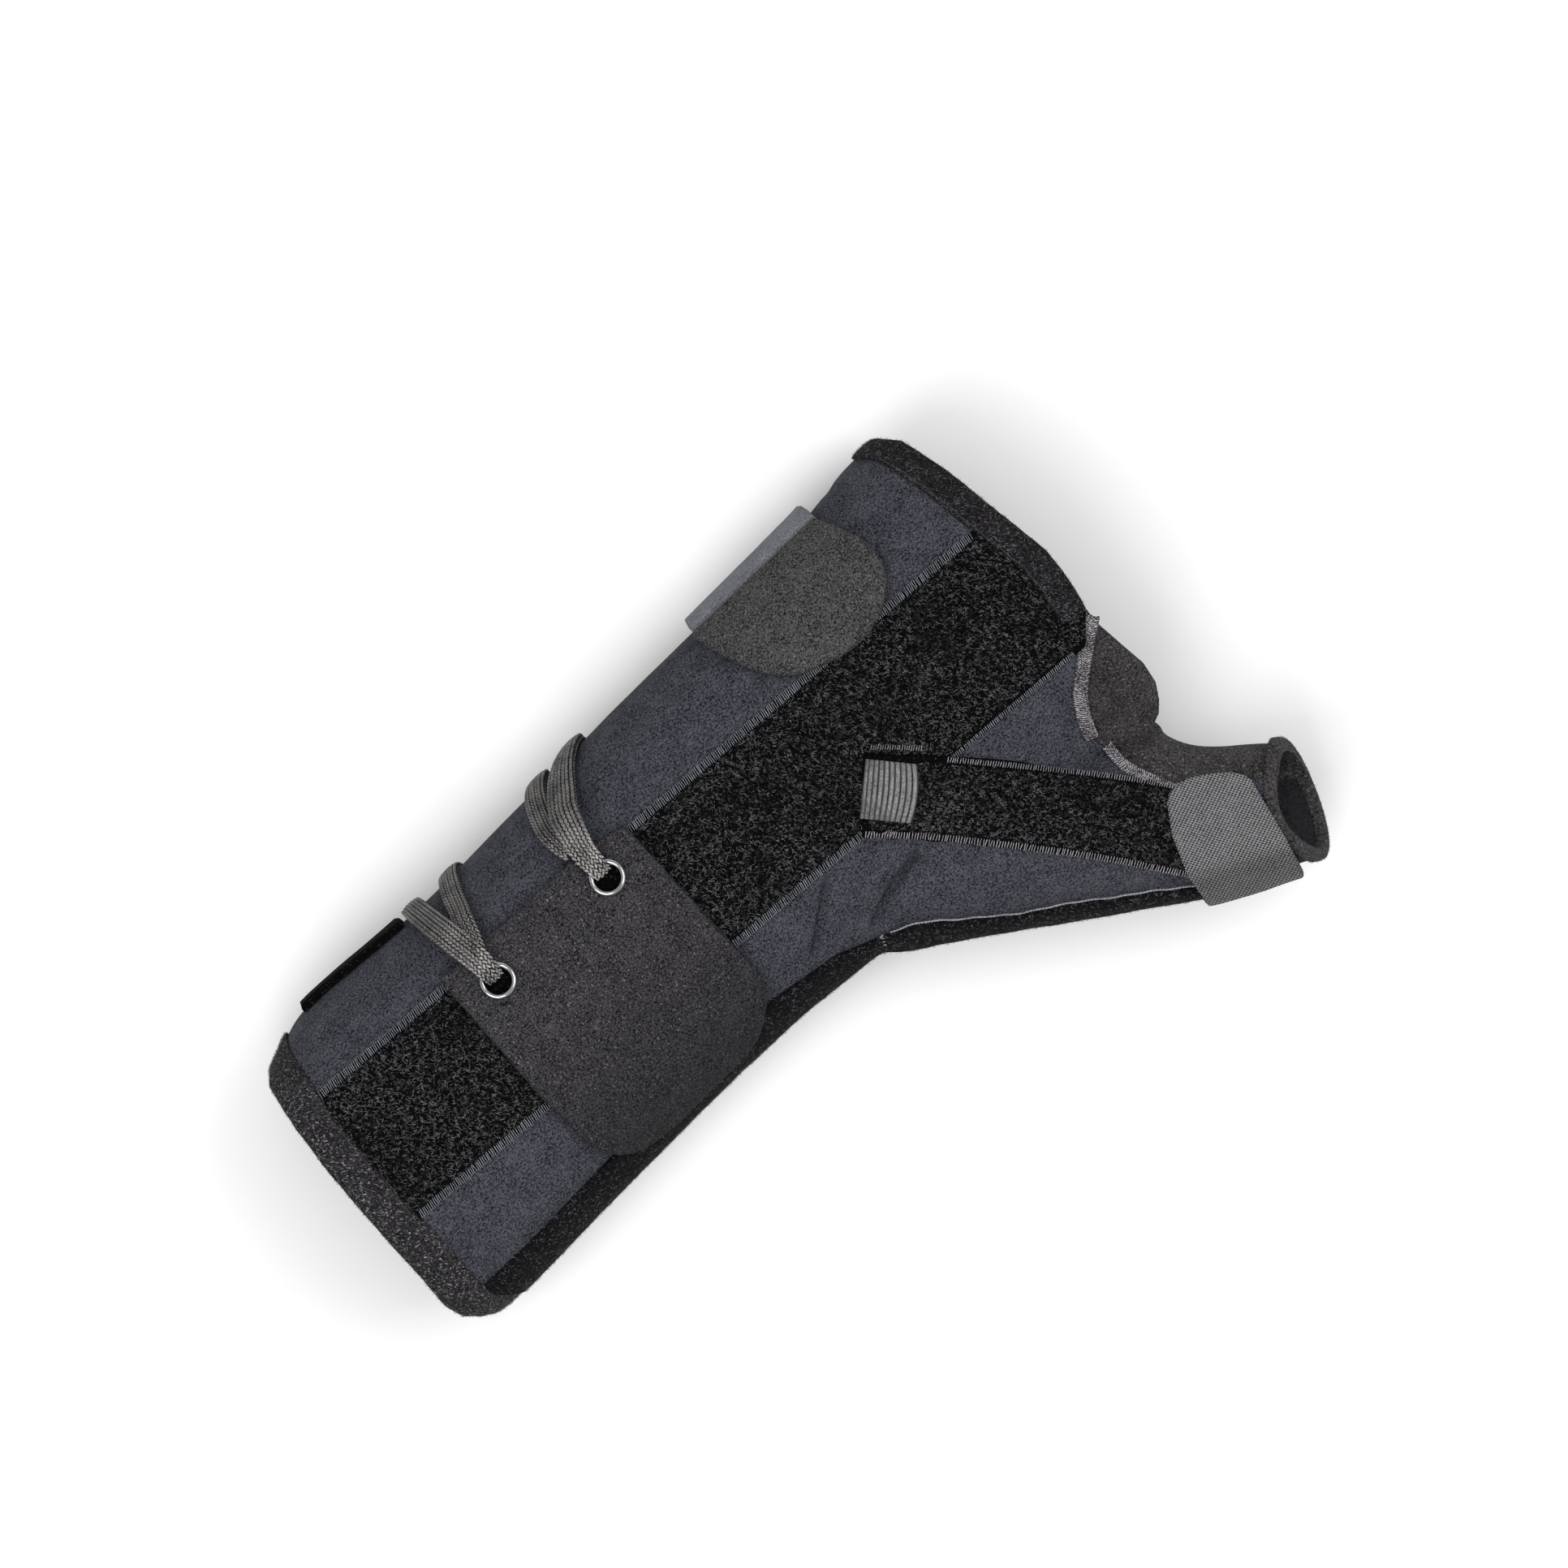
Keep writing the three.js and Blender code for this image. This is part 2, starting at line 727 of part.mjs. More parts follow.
// A flat lace along stations, each a middle and a width
function ribbon(stations) {
  const rings = stations.map(({ middle, width }, i) => {
    const before = stations[Math.max(i - 1, 0)].middle;
    const after = stations[Math.min(i + 1, stations.length - 1)].middle;
    const way = after.clone().sub(before).normalize();
    const wide = new THREE.Vector3(1, 0, 0).addScaledVector(way, -way.x).normalize();
    const thick = new THREE.Vector3().crossVectors(way, wide);
    const corner = (a, b) =>
      middle
        .clone()
        .addScaledVector(wide, (a * width) / 2)
        .addScaledVector(thick, (b * laceThickness) / 2);
    return [corner(-1, -1), corner(1, -1), corner(1, 1), corner(-1, 1)];
  });
  return loft(rings);
}

// A strand goes on round the little-finger side and over the back to the anchor
const laceFlat = laceStandOff + laceThickness / 2;
function strand(at, rows, spread) {
  const onSkin = ([x, turn, height, width]) => ({
    middle: sectionPoint(sectionAt(x), THREE.MathUtils.degToRad(turn), height, height),
    width,
  });
  const stations = rows.map(([along, turn, height, width]) => onSkin([at + along, turn, height, width]));
  const x = at + rows.at(-1)[0];
  const width = rows.at(-1)[3];
  laceTurns.forEach((turn, i) => {
    stations.push(onSkin([x + (spread * (i + 1)) / (laceTurns.length + 1), turn, laceFlat, width]));
  });
  stations.push({ middle: new THREE.Vector3(x + spread, gap - anchorAcross, -laceFlat), width });
  return ribbon(stations);
}

const proximalLace = strand(proximalEyeletAlong, [...laceThrough, ...proximalFront], 2).add(
  strand(proximalEyeletAlong, proximalBehind, 4),
);
const distalLace = strand(distalEyeletAlong, [...laceThrough, ...distalFront], -2).add(
  strand(distalEyeletAlong, distalBehind, -3),
);

// Plain patch on the back that takes the lace ends
const anchorStart = proximalEyeletAlong + proximalFront.at(-1)[0] - anchorLap;
const anchorEnd = distalEyeletAlong + distalFront.at(-1)[0] + anchorLap;
const laceAnchor = prism(
  [
    [anchorStart, -anchorAcross - anchorWidth],
    [anchorEnd, -anchorAcross - anchorWidth],
    [anchorEnd, -anchorAcross],
    [anchorStart, -anchorAcross],
  ],
  -strapTop,
  -gap,
);

function cloth(color, roughness) {
  return new THREE.MeshStandardMaterial({ color, roughness, metalness: 0 });
}
const navy = cloth("#41444b", 0.9);
const pile = cloth("#1f1e20", 1.0);
const fleece = cloth("#333234", 1.0);
const charcoal = cloth("#3d3b3e", 0.95);
const grey = cloth("#707071", 0.9);
const ribbed = cloth("#717171", 0.85);
const braid = cloth("#4f4d4d", 0.9);
const stretch = cloth("#383737", 0.9);
const bandGrey = cloth("#5a5d61", 0.9);
const chrome = new THREE.MeshStandardMaterial({ color: "#d8d8da", roughness: 0.15, metalness: 1 });

function piece(name, body, material) {
  const mesh = body.getMesh();
  const geometry = new THREE.BufferGeometry();
  geometry.setAttribute("position", new THREE.BufferAttribute(new Float32Array(mesh.vertProperties), 3));
  geometry.setIndex(new THREE.BufferAttribute(new Uint32Array(mesh.triVerts), 1));
  geometry.computeVertexNormals();
  const made = new THREE.Mesh(geometry, material);
  made.name = name;
  return made;
}

const splint = new THREE.Group();
splint.add(
  piece("sleeve_body", sleeveBody, navy),
  piece("web_panel", webPanel, stretch),
  piece("proximal_binding", proximalBinding, fleece),
  piece("distal_binding", distalBinding, fleece),
  piece("distal_binding_back", distalBindingBack, fleece),
  piece("thumb_rim_binding", thumbRimBinding, fleece),
  piece("radial_binding", radialBinding, pile),
  piece("palmar_loop_strip", palmarStrip, pile),
  piece("thumb_loop_strip", thumbStrip, pile),
  piece("stay_tab", stayTab, ribbed),
  piece("thumb_strap", thumbStrap, grey),
  piece("distal_strap_tab", distalStrapTab, charcoal),
  piece("distal_strap_band", distalStrapBand, bandGrey),
  piece("proximal_strap", proximalStrap, pile),
  piece("pull_tab", pullTab, charcoal),
  piece("eyelet_proximal", eyelet(proximalEyeletAlong), chrome),
  piece("eyelet_distal", eyelet(distalEyeletAlong), chrome),
  piece("proximal_lace", proximalLace, braid),
  piece("distal_lace", distalLace, braid),
  piece("lace_anchor", laceAnchor, pile),
);

// The origin stands under the middle of the whole splint
const extent = new THREE.Box3().setFromObject(splint);
const middle = extent.getCenter(new THREE.Vector3());
splint.position.set(-middle.x, -middle.y, -extent.min.z);
splint.updateMatrixWorld(true);

export default splint;
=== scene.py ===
# Thumb spica splint, palm side up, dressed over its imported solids.
import math

import bmesh
import bpy
import numpy as np
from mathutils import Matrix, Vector
from mathutils.bvhtree import BVHTree


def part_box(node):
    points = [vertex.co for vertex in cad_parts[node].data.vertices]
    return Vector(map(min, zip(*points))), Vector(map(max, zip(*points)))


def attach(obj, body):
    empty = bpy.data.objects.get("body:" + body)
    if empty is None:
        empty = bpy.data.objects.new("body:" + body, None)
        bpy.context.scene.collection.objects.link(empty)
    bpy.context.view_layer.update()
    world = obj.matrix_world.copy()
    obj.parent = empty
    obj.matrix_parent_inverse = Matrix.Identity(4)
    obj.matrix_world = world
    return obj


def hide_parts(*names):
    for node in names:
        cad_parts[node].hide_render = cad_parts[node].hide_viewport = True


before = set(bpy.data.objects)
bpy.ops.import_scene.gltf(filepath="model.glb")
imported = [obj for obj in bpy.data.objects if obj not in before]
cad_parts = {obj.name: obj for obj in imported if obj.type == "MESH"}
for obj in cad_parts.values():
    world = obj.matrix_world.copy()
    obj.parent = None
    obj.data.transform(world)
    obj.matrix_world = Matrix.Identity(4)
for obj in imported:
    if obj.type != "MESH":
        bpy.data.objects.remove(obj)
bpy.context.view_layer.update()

# The plan frame in millimetres: +X to the fingers, +Y to the little-finger side, +Z out of the palm,
# with z = 0 on the laminate's back. The lace patch's box ties it to the object's frame.
SLEEVE_LENGTH, SLEEVE_WIDTH, SLEEVE_DEPTH = 200.0, 80.0, 56.0
ULNAR, RADIAL = 41.0, 39.0
WIDEST, ROUND = 0.47, 0.8
THUMB_ANGLE, THUMB_LENGTH, THUMB_REACH = math.radians(37), 107.0, 17.0
ROOT = np.array([131.0, -19.0])
WAY = np.array([math.cos(-THUMB_ANGLE), math.sin(-THUMB_ANGLE)])
SIDE = np.array([-WAY[1], WAY[0]])
BACK = 3.4
PATCH = (48.9, 106.0, -24.0, -4.0)
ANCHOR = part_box("lace_anchor")[0]
SHIFT = np.array([ANCHOR[0] * 1000 - PATCH[0], ANCHOR[1] * 1000 - PATCH[2], BACK])
WIDEST_Z = SLEEVE_DEPTH * WIDEST * 0.83

# Cloth layers: heights over the laminate of the sewn strips and of the tabs and straps over them
STRIP_LOW, STRIP_HIGH = 0.12, 1.5
TAB_LOW, TAB_HIGH = 1.85, 3.4
TAB_AT_HEIGHT = 3.2
STRAP_LOW = 0.25

# Sections of the sleeve: along, little-finger side, thumb side, depth, as shares
SECTIONS = np.array([
    [-0.13, 0.84, 1.02, 1.0], [0.0, 0.84, 1.02, 1.0], [0.035, 0.88, 1.03, 1.0], [0.06, 0.965, 1.03, 0.995],
    [0.1, 0.985, 1.02, 0.985], [0.225, 0.951, 0.992, 0.96], [0.3, 0.946, 0.98, 0.935], [0.4, 0.971, 0.97, 0.905],
    [0.5, 0.99, 0.972, 0.875], [0.59, 1.005, 1.02, 0.85], [0.7, 1.015, 1.025, 0.835], [0.8, 1.024, 1.05, 0.83],
    [0.9, 1.04, 1.1, 0.82], [0.955, 1.095, 1.16, 0.8], [1.0, 1.09, 1.2, 0.785], [1.06, 1.08, 1.23, 0.77],
    [1.2, 1.08, 1.24, 0.765]]) * np.array([SLEEVE_LENGTH, ULNAR, RADIAL, SLEEVE_DEPTH])
# Sections of the thumb: along, web side, outer side, height, middle
THUMB = np.array([
    [0.0, 1.22, 1.0, 0.88, 0.43], [0.11, 1.33, 1.12, 1.03, 0.44], [0.19, 1.27, 1.15, 1.1, 0.45],
    [0.32, 1.215, 1.18, 1.15, 0.46], [0.45, 1.17, 1.18, 1.13, 0.465], [0.58, 1.13, 1.2, 1.07, 0.47],
    [0.66, 1.105, 1.265, 1.01, 0.475], [0.7, 1.1, 1.235, 0.98, 0.48], [0.745, 1.085, 1.02, 0.94, 0.48],
    [0.785, 1.05, 0.935, 0.91, 0.485], [0.86, 0.97, 0.91, 0.875, 0.49], [0.935, 0.86, 0.895, 0.85, 0.495],
    [1.0, 0.77, 0.84, 0.824, 0.5], [1.3, 0.735, 0.8, 0.81, 0.5],
]) * np.array([THUMB_LENGTH, THUMB_REACH, THUMB_REACH, THUMB_REACH, SLEEVE_DEPTH])


def smooth_columns(table, sigma):
    xs = np.arange(table[0, 0], table[-1, 0] + 0.5, 0.5)
    k = np.exp(-0.5 * (np.arange(-24, 25) * 0.5 / sigma) ** 2)
    k /= k.sum()
    cols = [xs]
    for i in range(1, table.shape[1]):
        raw = np.interp(xs, table[:, 0], table[:, i])
        cols.append(np.convolve(np.pad(raw, 24, mode="edge"), k, mode="valid"))
    return cols


SLEEVE_COLS = smooth_columns(SECTIONS, 3.0)
THUMB_COLS = smooth_columns(THUMB, 2.0)


def rounded(v):
    return np.sign(v) * np.abs(v) ** ROUND


def sleeve_point(x, phi, off, back=None):
    x, phi, off = np.broadcast_arrays(np.asarray(x, float), np.asarray(phi, float), np.asarray(off, float))
    ulnar, radial, depth = (np.interp(x, SLEEVE_COLS[0], c) for c in SLEEVE_COLS[1:])
    widest = depth * WIDEST
    side = np.where(np.cos(phi) >= 0, ulnar, radial) + off
    y = rounded(np.cos(phi)) * side
    z = widest + rounded(np.sin(phi)) * (depth - widest + off)
    floor = -off if back is None else np.full_like(off, -back)
    return np.stack([x, y, np.maximum(z, floor)], -1)


def thumb_point(s, theta, off):
    s, theta, off = np.broadcast_arrays(np.asarray(s, float), np.asarray(theta, float), np.asarray(off, float))
    outer, web, high, mid = (np.interp(s, THUMB_COLS[0], c) for c in THUMB_COLS[1:])
    side = np.cos(theta) * (np.where(np.cos(theta) >= 0, web, outer) + off)
    xy = ROOT + s[..., None] * WAY + side[..., None] * SIDE
    return np.concatenate([xy, (mid + np.sin(theta) * (high + off))[..., None]], -1)


def thumb_plan(s, side):
    return ROOT + s * WAY + side * SIDE


# Plan outlines, shares of the sleeve's length and width
def plan(rows):
    return np.array(rows, float) * np.array([SLEEVE_LENGTH, SLEEVE_WIDTH])


FOREARM_RIM = plan([[0.03, 0.75], [0.012, 0.45], [0.0, 0.41], [-0.0075, 0.275], [-0.0125, 0.15], [-0.016, 0.01],
                    [-0.0185, -0.125], [-0.02, -0.275], [-0.024, -0.4], [-0.019, -0.45], [-0.0075, -0.48],
                    [0.0075, -0.505], [0.02, -0.75]])
FINGER_RIM = plan([[0.99, 0.75], [1.0135, 0.556], [1.03, 0.506], [1.0365, 0.4375], [1.043, 0.3575],
                   [1.0475, 0.2675], [1.0525, 0.165], [1.058, 0.0625], [1.0615, -0.006], [1.059, -0.085],
                   [1.0545, -0.154], [1.049, -0.2125]])
WEB_RIM = plan([[1.0475, -0.2625], [1.0515, -0.369], [1.0545, -0.4375], [1.05, -0.506], [1.04, -0.55],
                [1.03, -0.58], [1.016, -0.591]])
WEB_SEAM = plan([[1.3, -0.21], [1.0475, -0.21], [1.0225, -0.279], [0.991, -0.33], [0.968, -0.369],
                 [0.9545, -0.42], [0.9525, -0.4825], [0.957, -0.54], [0.957, -0.6075], [0.968, -0.67],
                 [0.982, -0.75]])
BAND_EDGE = np.array([[-60, -33.5], [20, -33.6], [44, -32.4], [94.6, -31.4], [101.5, -32.4], [114.6, -34.4],
                      [122, -37.4], [126.4, -39], [131, -40.9], [135, -43.4], [139, -47], [143.6, -50.4],
                      [150, -55.7], [154.5, -58.4], [159, -61.1], [163.6, -64.2], [169, -68.4], [175.5, -72.6],
                      [180, -76.1], [186, -80.5], [192, -85]], float)
WEB_POLY = np.vstack([WEB_SEAM, [thumb_plan(THUMB_LENGTH, 6.6)], [thumb_plan(139, 6.6)]])
STRAP_POLY = np.array([thumb_plan(a * THUMB_LENGTH, b * THUMB_REACH) for a, b in [
    (0.86, -3.5), (0.795, -2.2), (0.765, -1.26), (0.725, -0.84), (0.7, -0.25), (0.697, 0.21), (0.704, 0.34),
    (0.722, 0.45), (0.752, 0.52), (0.795, 0.545), (0.84, 0.53), (0.868, 0.47), (0.882, 0.38), (0.893, 0.2),
    (0.925, -0.25), (0.958, -0.75), (0.985, -1.1), (1.03, -3.5)]])
TAB_SEAM = 41.6
TAB_POLY = np.array([
    (140.5, 41.3), (141.4, 37.0), (142.6, 32.8), (144.4, 27.6), (146.5, 23.4), (149.5, 19.6), (153.0, 17.2),
    (157.0, 15.6), (161.0, 14.2), (165.5, 13.4), (170.0, 13.5), (174.0, 14.5), (177.4, 16.1), (180.0, 18.0),
    (182.2, 20.6), (183.6, 23.6), (184.2, 27.0), (183.7, 30.6), (182.6, 34.0), (181.2, 37.4), (179.8, 40.6),
    (179.2, TAB_SEAM), (141.0, TAB_SEAM)])
PULL_POLY = np.array([(44.5, 0.0), (45.5, 23.8), (67, 22.9), (85.2, 22.7), (95, 21.3), (100, 20.4), (99.6, 4),
                      (99.3, -14), (99.3, -24.5), (98.6, -27.5), (97.2, -30), (95, -32.4), (92, -34.6),
                      (88, -36.5), (84, -37.4), (61, -37.8), (54.5, -37.2), (50.5, -36), (47.5, -34),
                      (45.4, -31), (44.2, -26.4), (43.9, -12)], float)
EYELETS = ((55.0, 13.5), (88.9, 13.5))
EYELET_SHIFT = 0.45
STRIP_HALF = 18.5
THUMB_STRIP = [(0.055, 0.76), (0.13, 0.7), (0.22, 0.62), (0.35, 0.45), (0.5, 0.25), (0.62, 0.06), (0.72, -0.13),
               (0.79, -0.25)]
THUMB_STRIP_HALF = 9.5


def resample(line, step, smooth=0):
    line = np.asarray(line, float)
    for _ in range(smooth):
        a, b = line[:-1], line[1:]
        cut = np.empty((2 * len(a), line.shape[1]))
        cut[0::2] = 0.75 * a + 0.25 * b
        cut[1::2] = 0.25 * a + 0.75 * b
        line = np.vstack([line[:1], cut, line[-1:]])
    d = np.concatenate([[0], np.cumsum(np.linalg.norm(np.diff(line, axis=0), axis=1))])
    n = max(2, int(round(d[-1] / step)) + 1)
    at = np.linspace(0, d[-1], n)
    return np.stack([np.interp(at, d, line[:, k]) for k in range(line.shape[1])], -1)


def unit(v, least=0.0):
    return v / np.maximum(np.linalg.norm(v, axis=1), least)[:, None]


def line_frame(line):
    """Directions along and across a plan line."""
    t = unit(np.gradient(line, axis=0))
    return t, np.stack([-t[:, 1], t[:, 0]], -1)


def around(count):
    return np.linspace(0, 2 * math.pi, count, endpoint=False)


def strip_edges():
    mid = resample([thumb_plan(a * THUMB_LENGTH, b * THUMB_REACH) for a, b in THUMB_STRIP], 1.0, 2)
    _, n = line_frame(mid)
    more = np.linspace(0, 1, len(mid))[:, None] ** 1.3 * 2.0
    return mid, mid + n * THUMB_STRIP_HALF, mid - n * (THUMB_STRIP_HALF + more)


STRIP_MIDDLE, STRIP_UPPER, STRIP_LOWER = strip_edges()
THUMB_STRIP_POLY = np.vstack([STRIP_LOWER, STRIP_UPPER[::-1]])
TAB_AT = np.array([(139.6, -15.6), (147.3, -24.4), (157.4, -15.6), (149.8, -6.7)])


def poly_sdf(p, poly):
    p = np.asarray(p, float)[:, :2]
    best = np.full(len(p), 1e9)
    inside = np.zeros(len(p), bool)
    for a, b in zip(poly, np.roll(poly, -1, axis=0)):
        e = b - a
        w = p - a
        t = np.clip((w @ e) / max(e @ e, 1e-12), 0, 1)
        best = np.minimum(best, np.linalg.norm(w - t[:, None] * e, axis=1))
        if a[1] != b[1]:
            cross = (a[1] > p[:, 1]) != (b[1] > p[:, 1])
            inside ^= cross & (p[:, 0] < e[0] * (p[:, 1] - a[1]) / e[1] + a[0])
    return np.where(inside, -best, best)


def rim_x(rim, y):
    order = np.argsort(rim[:, 1])
    return np.interp(y, rim[order, 1], rim[order, 0])


def recess(theta):
    """How far the rim draws back on the palm side of the thumb."""
    turn = (theta - math.radians(98) + math.pi) % (2 * math.pi) - math.pi
    return 3.4 * np.exp(-((turn / math.radians(46)) ** 2))


def opening_side(p, less):
    """Signed distance past the plane of the thumb's opening, less a distance."""
    tilt, turn = math.radians(14), math.radians(12) - THUMB_ANGLE
    n = np.array([math.cos(tilt) * math.cos(turn), math.cos(tilt) * math.sin(turn), math.sin(tilt)])
    c = thumb_plan(THUMB_LENGTH, 0)
    p = np.asarray(p, float)
    theta = np.arctan2(p[:, 2] - 0.5 * SLEEVE_DEPTH, (p[:, :2] - c) @ SIDE)
    return (p - np.array([c[0], c[1], 0.5 * SLEEVE_DEPTH])) @ n + less + recess(theta)


# Mesh arrays
def grid_faces(rows, cols, wrap=False):
    last = cols if wrap else cols - 1
    r, c = np.meshgrid(np.arange(rows - 1), np.arange(last), indexing="ij")
    a = r * cols + c
    b = r * cols + (c + 1) % cols
    return np.stack([a, b, b + cols, a + cols], -1).reshape(-1, 4)


def ring_faces(rows):
    """Quads of rows of points that close round both ways."""
    return grid_faces(len(rows) + 1, rows.shape[1], True) % (rows.shape[0] * rows.shape[1])


def tris_of(quads):
    return np.vstack([quads[:, [0, 1, 2]], quads[:, [0, 2, 3]]])


def closed_loft(rings):
    rows, cols = rings.shape[:2]
    points = rings.reshape(-1, 3)
    quads = grid_faces(rows, cols, True)
    start, end = len(points), len(points) + 1
    points = np.vstack([points, rings[0].mean(0), rings[-1].mean(0)])
    i = np.arange(cols)
    j = (i + 1) % cols
    last = (rows - 1) * cols
    caps = np.vstack([np.stack([np.full(cols, start), j, i], -1),
                      np.stack([np.full(cols, end), last + i, last + j], -1)])
    return points, np.vstack([tris_of(quads), caps])


def new_mesh(name, points, faces):
    mesh = bpy.data.meshes.new(name)
    mesh.from_pydata(((points + SHIFT) / 1000).tolist(), [], faces.tolist())
    return mesh


def linked(name, data):
    ob = bpy.data.objects.new(name, data)
    bpy.context.scene.collection.objects.link(ob)
    return ob


def evaluated(ob):
    graph = bpy.context.evaluated_depsgraph_get()
    made = ob.evaluated_get(graph).to_mesh()
    p = np.empty(len(made.vertices) * 3)
    made.vertices.foreach_get("co", p)
    made.calc_loop_triangles()
    t = np.empty(len(made.loop_triangles) * 3, int)
    made.loop_triangles.foreach_get("vertices", t)
    ob.evaluated_get(graph).to_mesh_clear()
    return p.reshape(-1, 3) * 1000 - SHIFT, t.reshape(-1, 3)


def crosses(p, t):
    return np.cross(p[t[:, 1]] - p[t[:, 0]], p[t[:, 2]] - p[t[:, 0]])


def normals(p, t):
    n = np.zeros_like(p)
    f = crosses(p, t)
    for k in range(3):
        np.add.at(n, t[:, k], f)
    return unit(n, 1e-12)


def build_base(voxel, smooth):
    """The splint's outside as one smooth mesh, plain and subdivided once."""
    x, s = np.arange(-14, 227, 2.0), np.arange(0, 131, 2.0)
    a = closed_loft(sleeve_point(x[:, None], around(144)[None, :], 0.0))
    b = closed_loft(thumb_point(s[:, None], around(80)[None, :], 0.0))
    mesh = new_mesh("form", np.vstack([a[0], b[0]]), np.vstack([a[1], b[1] + len(a[0])]))
    mesh.validate()
    ob = linked("form", mesh)
    m = ob.modifiers.new("voxel", "REMESH")
    m.mode = "VOXEL"
    m.voxel_size = voxel / 1000
    m = ob.modifiers.new("ease", "SMOOTH")
    m.factor, m.iterations = 0.5, smooth
    coarse = evaluated(ob)
    m = ob.modifiers.new("fine", "SUBSURF")
    m.levels = m.render_levels = 1
    dense = evaluated(ob)
    bpy.data.objects.remove(ob)
    bpy.data.meshes.remove(mesh)
    return coarse, dense


# Folds of the cloth: a line in plan, how deep, how wide
FOLDS = [
    ([(142.5, -30.2), (137.5, -31.4), (132.0, -32.8), (126.0, -35.6)], -2.5, 0.85),
    ([(146.5, -32.5), (140.5, -34.6), (134.0, -36.4)], 0.75, 2.2),
    ([(140.0, -26.4), (134.0, -27.8), (127.5, -30.2)], 0.75, 1.8),
    ([(123.5, -21.5), (120.0, -24.5), (115.5, -27.6), (111.5, -31.0)], -2.1, 0.85),
    ([(127.5, -22.5), (123.5, -26.5), (118.5, -30.0)], 0.7, 1.9),
    ([(117.5, -20.5), (113.5, -24.5), (108.5, -28.5)], 0.35, 1.9),
    ([(150.0, -44.0), (160.0, -50.0), (170.0, -58.0)], -0.3, 2.4),
    ([(185.0, -30.0), (187.5, -38.0), (187.0, -47.0)], -0.3, 1.6),
    ([(176.0, -24.0), (183.0, -33.0), (185.5, -42.0)], 0.3, 2.4),
    ([(110.0, 36.0), (125.0, 37.0), (137.0, 36.0)], -0.3, 2.5),
    ([(112.0, 28.0), (124.0, 33.0), (136.0, 30.5)], 0.25, 3.0),
    ([(186.0, 43.0), (190.0, 37.0), (193.0, 28.0)], -0.35, 2.0),
    ([(190.4, -38.6), (191.2, -41.0), (192.0, -43.6)], -0.8, 1.4),
    ([(199.0, -30.0), (201.5, -38.0), (199.5, -46.0)], -0.5, 1.6),
    ([(205.0, -26.0), (206.5, -36.0), (203.5, -44.0)], 0.35, 2.0),
    ([(196.0, -50.0), (201.0, -57.0), (210.0, -64.5)], -0.45, 1.5),
    ([(12.0, -26.0), (22.0, -24.5), (34.0, -26.5)], -0.25, 2.4),
    ([(60.0, 30.0), (72.0, 34.0), (84.0, 30.0)], -0.3, 2.6),
    ([(44.0, 33.0), (47.5, 26.0), (50.0, 24.0)], -0.3, 1.6),
]


def line_distance(p, line):
    line = resample(line, 1.0, 2)
    best = np.full(len(p), 1e9)
    for a, b in zip(line[:-1], line[1:]):
        e = b - a
        w = p[:, :2] - a
        t = np.clip((w @ e) / (e @ e), 0, 1)
        best = np.minimum(best, np.linalg.norm(w - t[:, None] * e, axis=1))
    return best


def waves(p, size, seed):
    r = np.random.default_rng(seed)
    total = np.zeros(len(p))
    for _ in range(9):
        k = r.normal(size=3)
        k *= (2 * math.pi / size) * r.uniform(0.7, 1.4) / np.linalg.norm(k)
        total += np.sin(p @ k + r.uniform(0, 6.28))
    return total / 9


def fold(p, n):
    move = 0.22 * waves(p, 26.0, 3) + 0.08 * waves(p, 9.0, 4)
    palm = p[:, 2] > WIDEST_Z - 6
    for line, deep, wide in FOLDS:
        q = np.asarray(line)
        lo, hi = q.min(0) - 8, q.max(0) + 8
        near = palm & (p[:, 0] > lo[0]) & (p[:, 0] < hi[0]) & (p[:, 1] > lo[1]) & (p[:, 1] < hi[1])
        d = line_distance(p[near], line)
        move[near] += deep * np.exp(-((d / wide) ** 2))
    back = np.clip((p[:, 2] - 1.0) / 4.0, 0, 1)
    return p + n * (move * back)[:, None]


def refined(points, tris, boxes):
    """Split the faces inside plan boxes on the palm side once more."""
    mesh = bpy.data.meshes.new("refine")
    mesh.from_pydata(points.tolist(), [], tris.tolist())
    bm = bmesh.new()
    bm.from_mesh(mesh)
    chosen = []
    for e in bm.edges:
        m = (e.verts[0].co + e.verts[1].co) / 2
        if m.z > WIDEST_Z + 2 and any(x0 < m.x < x1 and y0 < m.y < y1 for x0, x1, y0, y1 in boxes):
            chosen.append(e)
    bmesh.ops.subdivide_edges(bm, edges=chosen, cuts=1, use_grid_fill=True, smooth=0.0)
    bmesh.ops.triangulate(bm, faces=bm.faces[:])
    bm.verts.ensure_lookup_table()
    p = np.array([v.co[:] for v in bm.verts])
    t = np.array([[v.index for v in f.verts] for f in bm.faces])
    bm.free()
    bpy.data.meshes.remove(mesh)
    return p, t


def folded(p, t):
    """A base: its folded points, their normals and its triangles."""
    p = fold(p, normals(p, t))
    return p, normals(p, t), t


CREASED, EYELET_ROW = (104, 150, -46, -16), (40, 130, 22, 36)
PLAIN, DENSE = build_base(1.5, 14)
COARSE = folded(*refined(*PLAIN, [CREASED, EYELET_ROW]))
FINE = folded(*DENSE)
TREE = BVHTree.FromPolygons(FINE[0].tolist(), FINE[2].tolist())


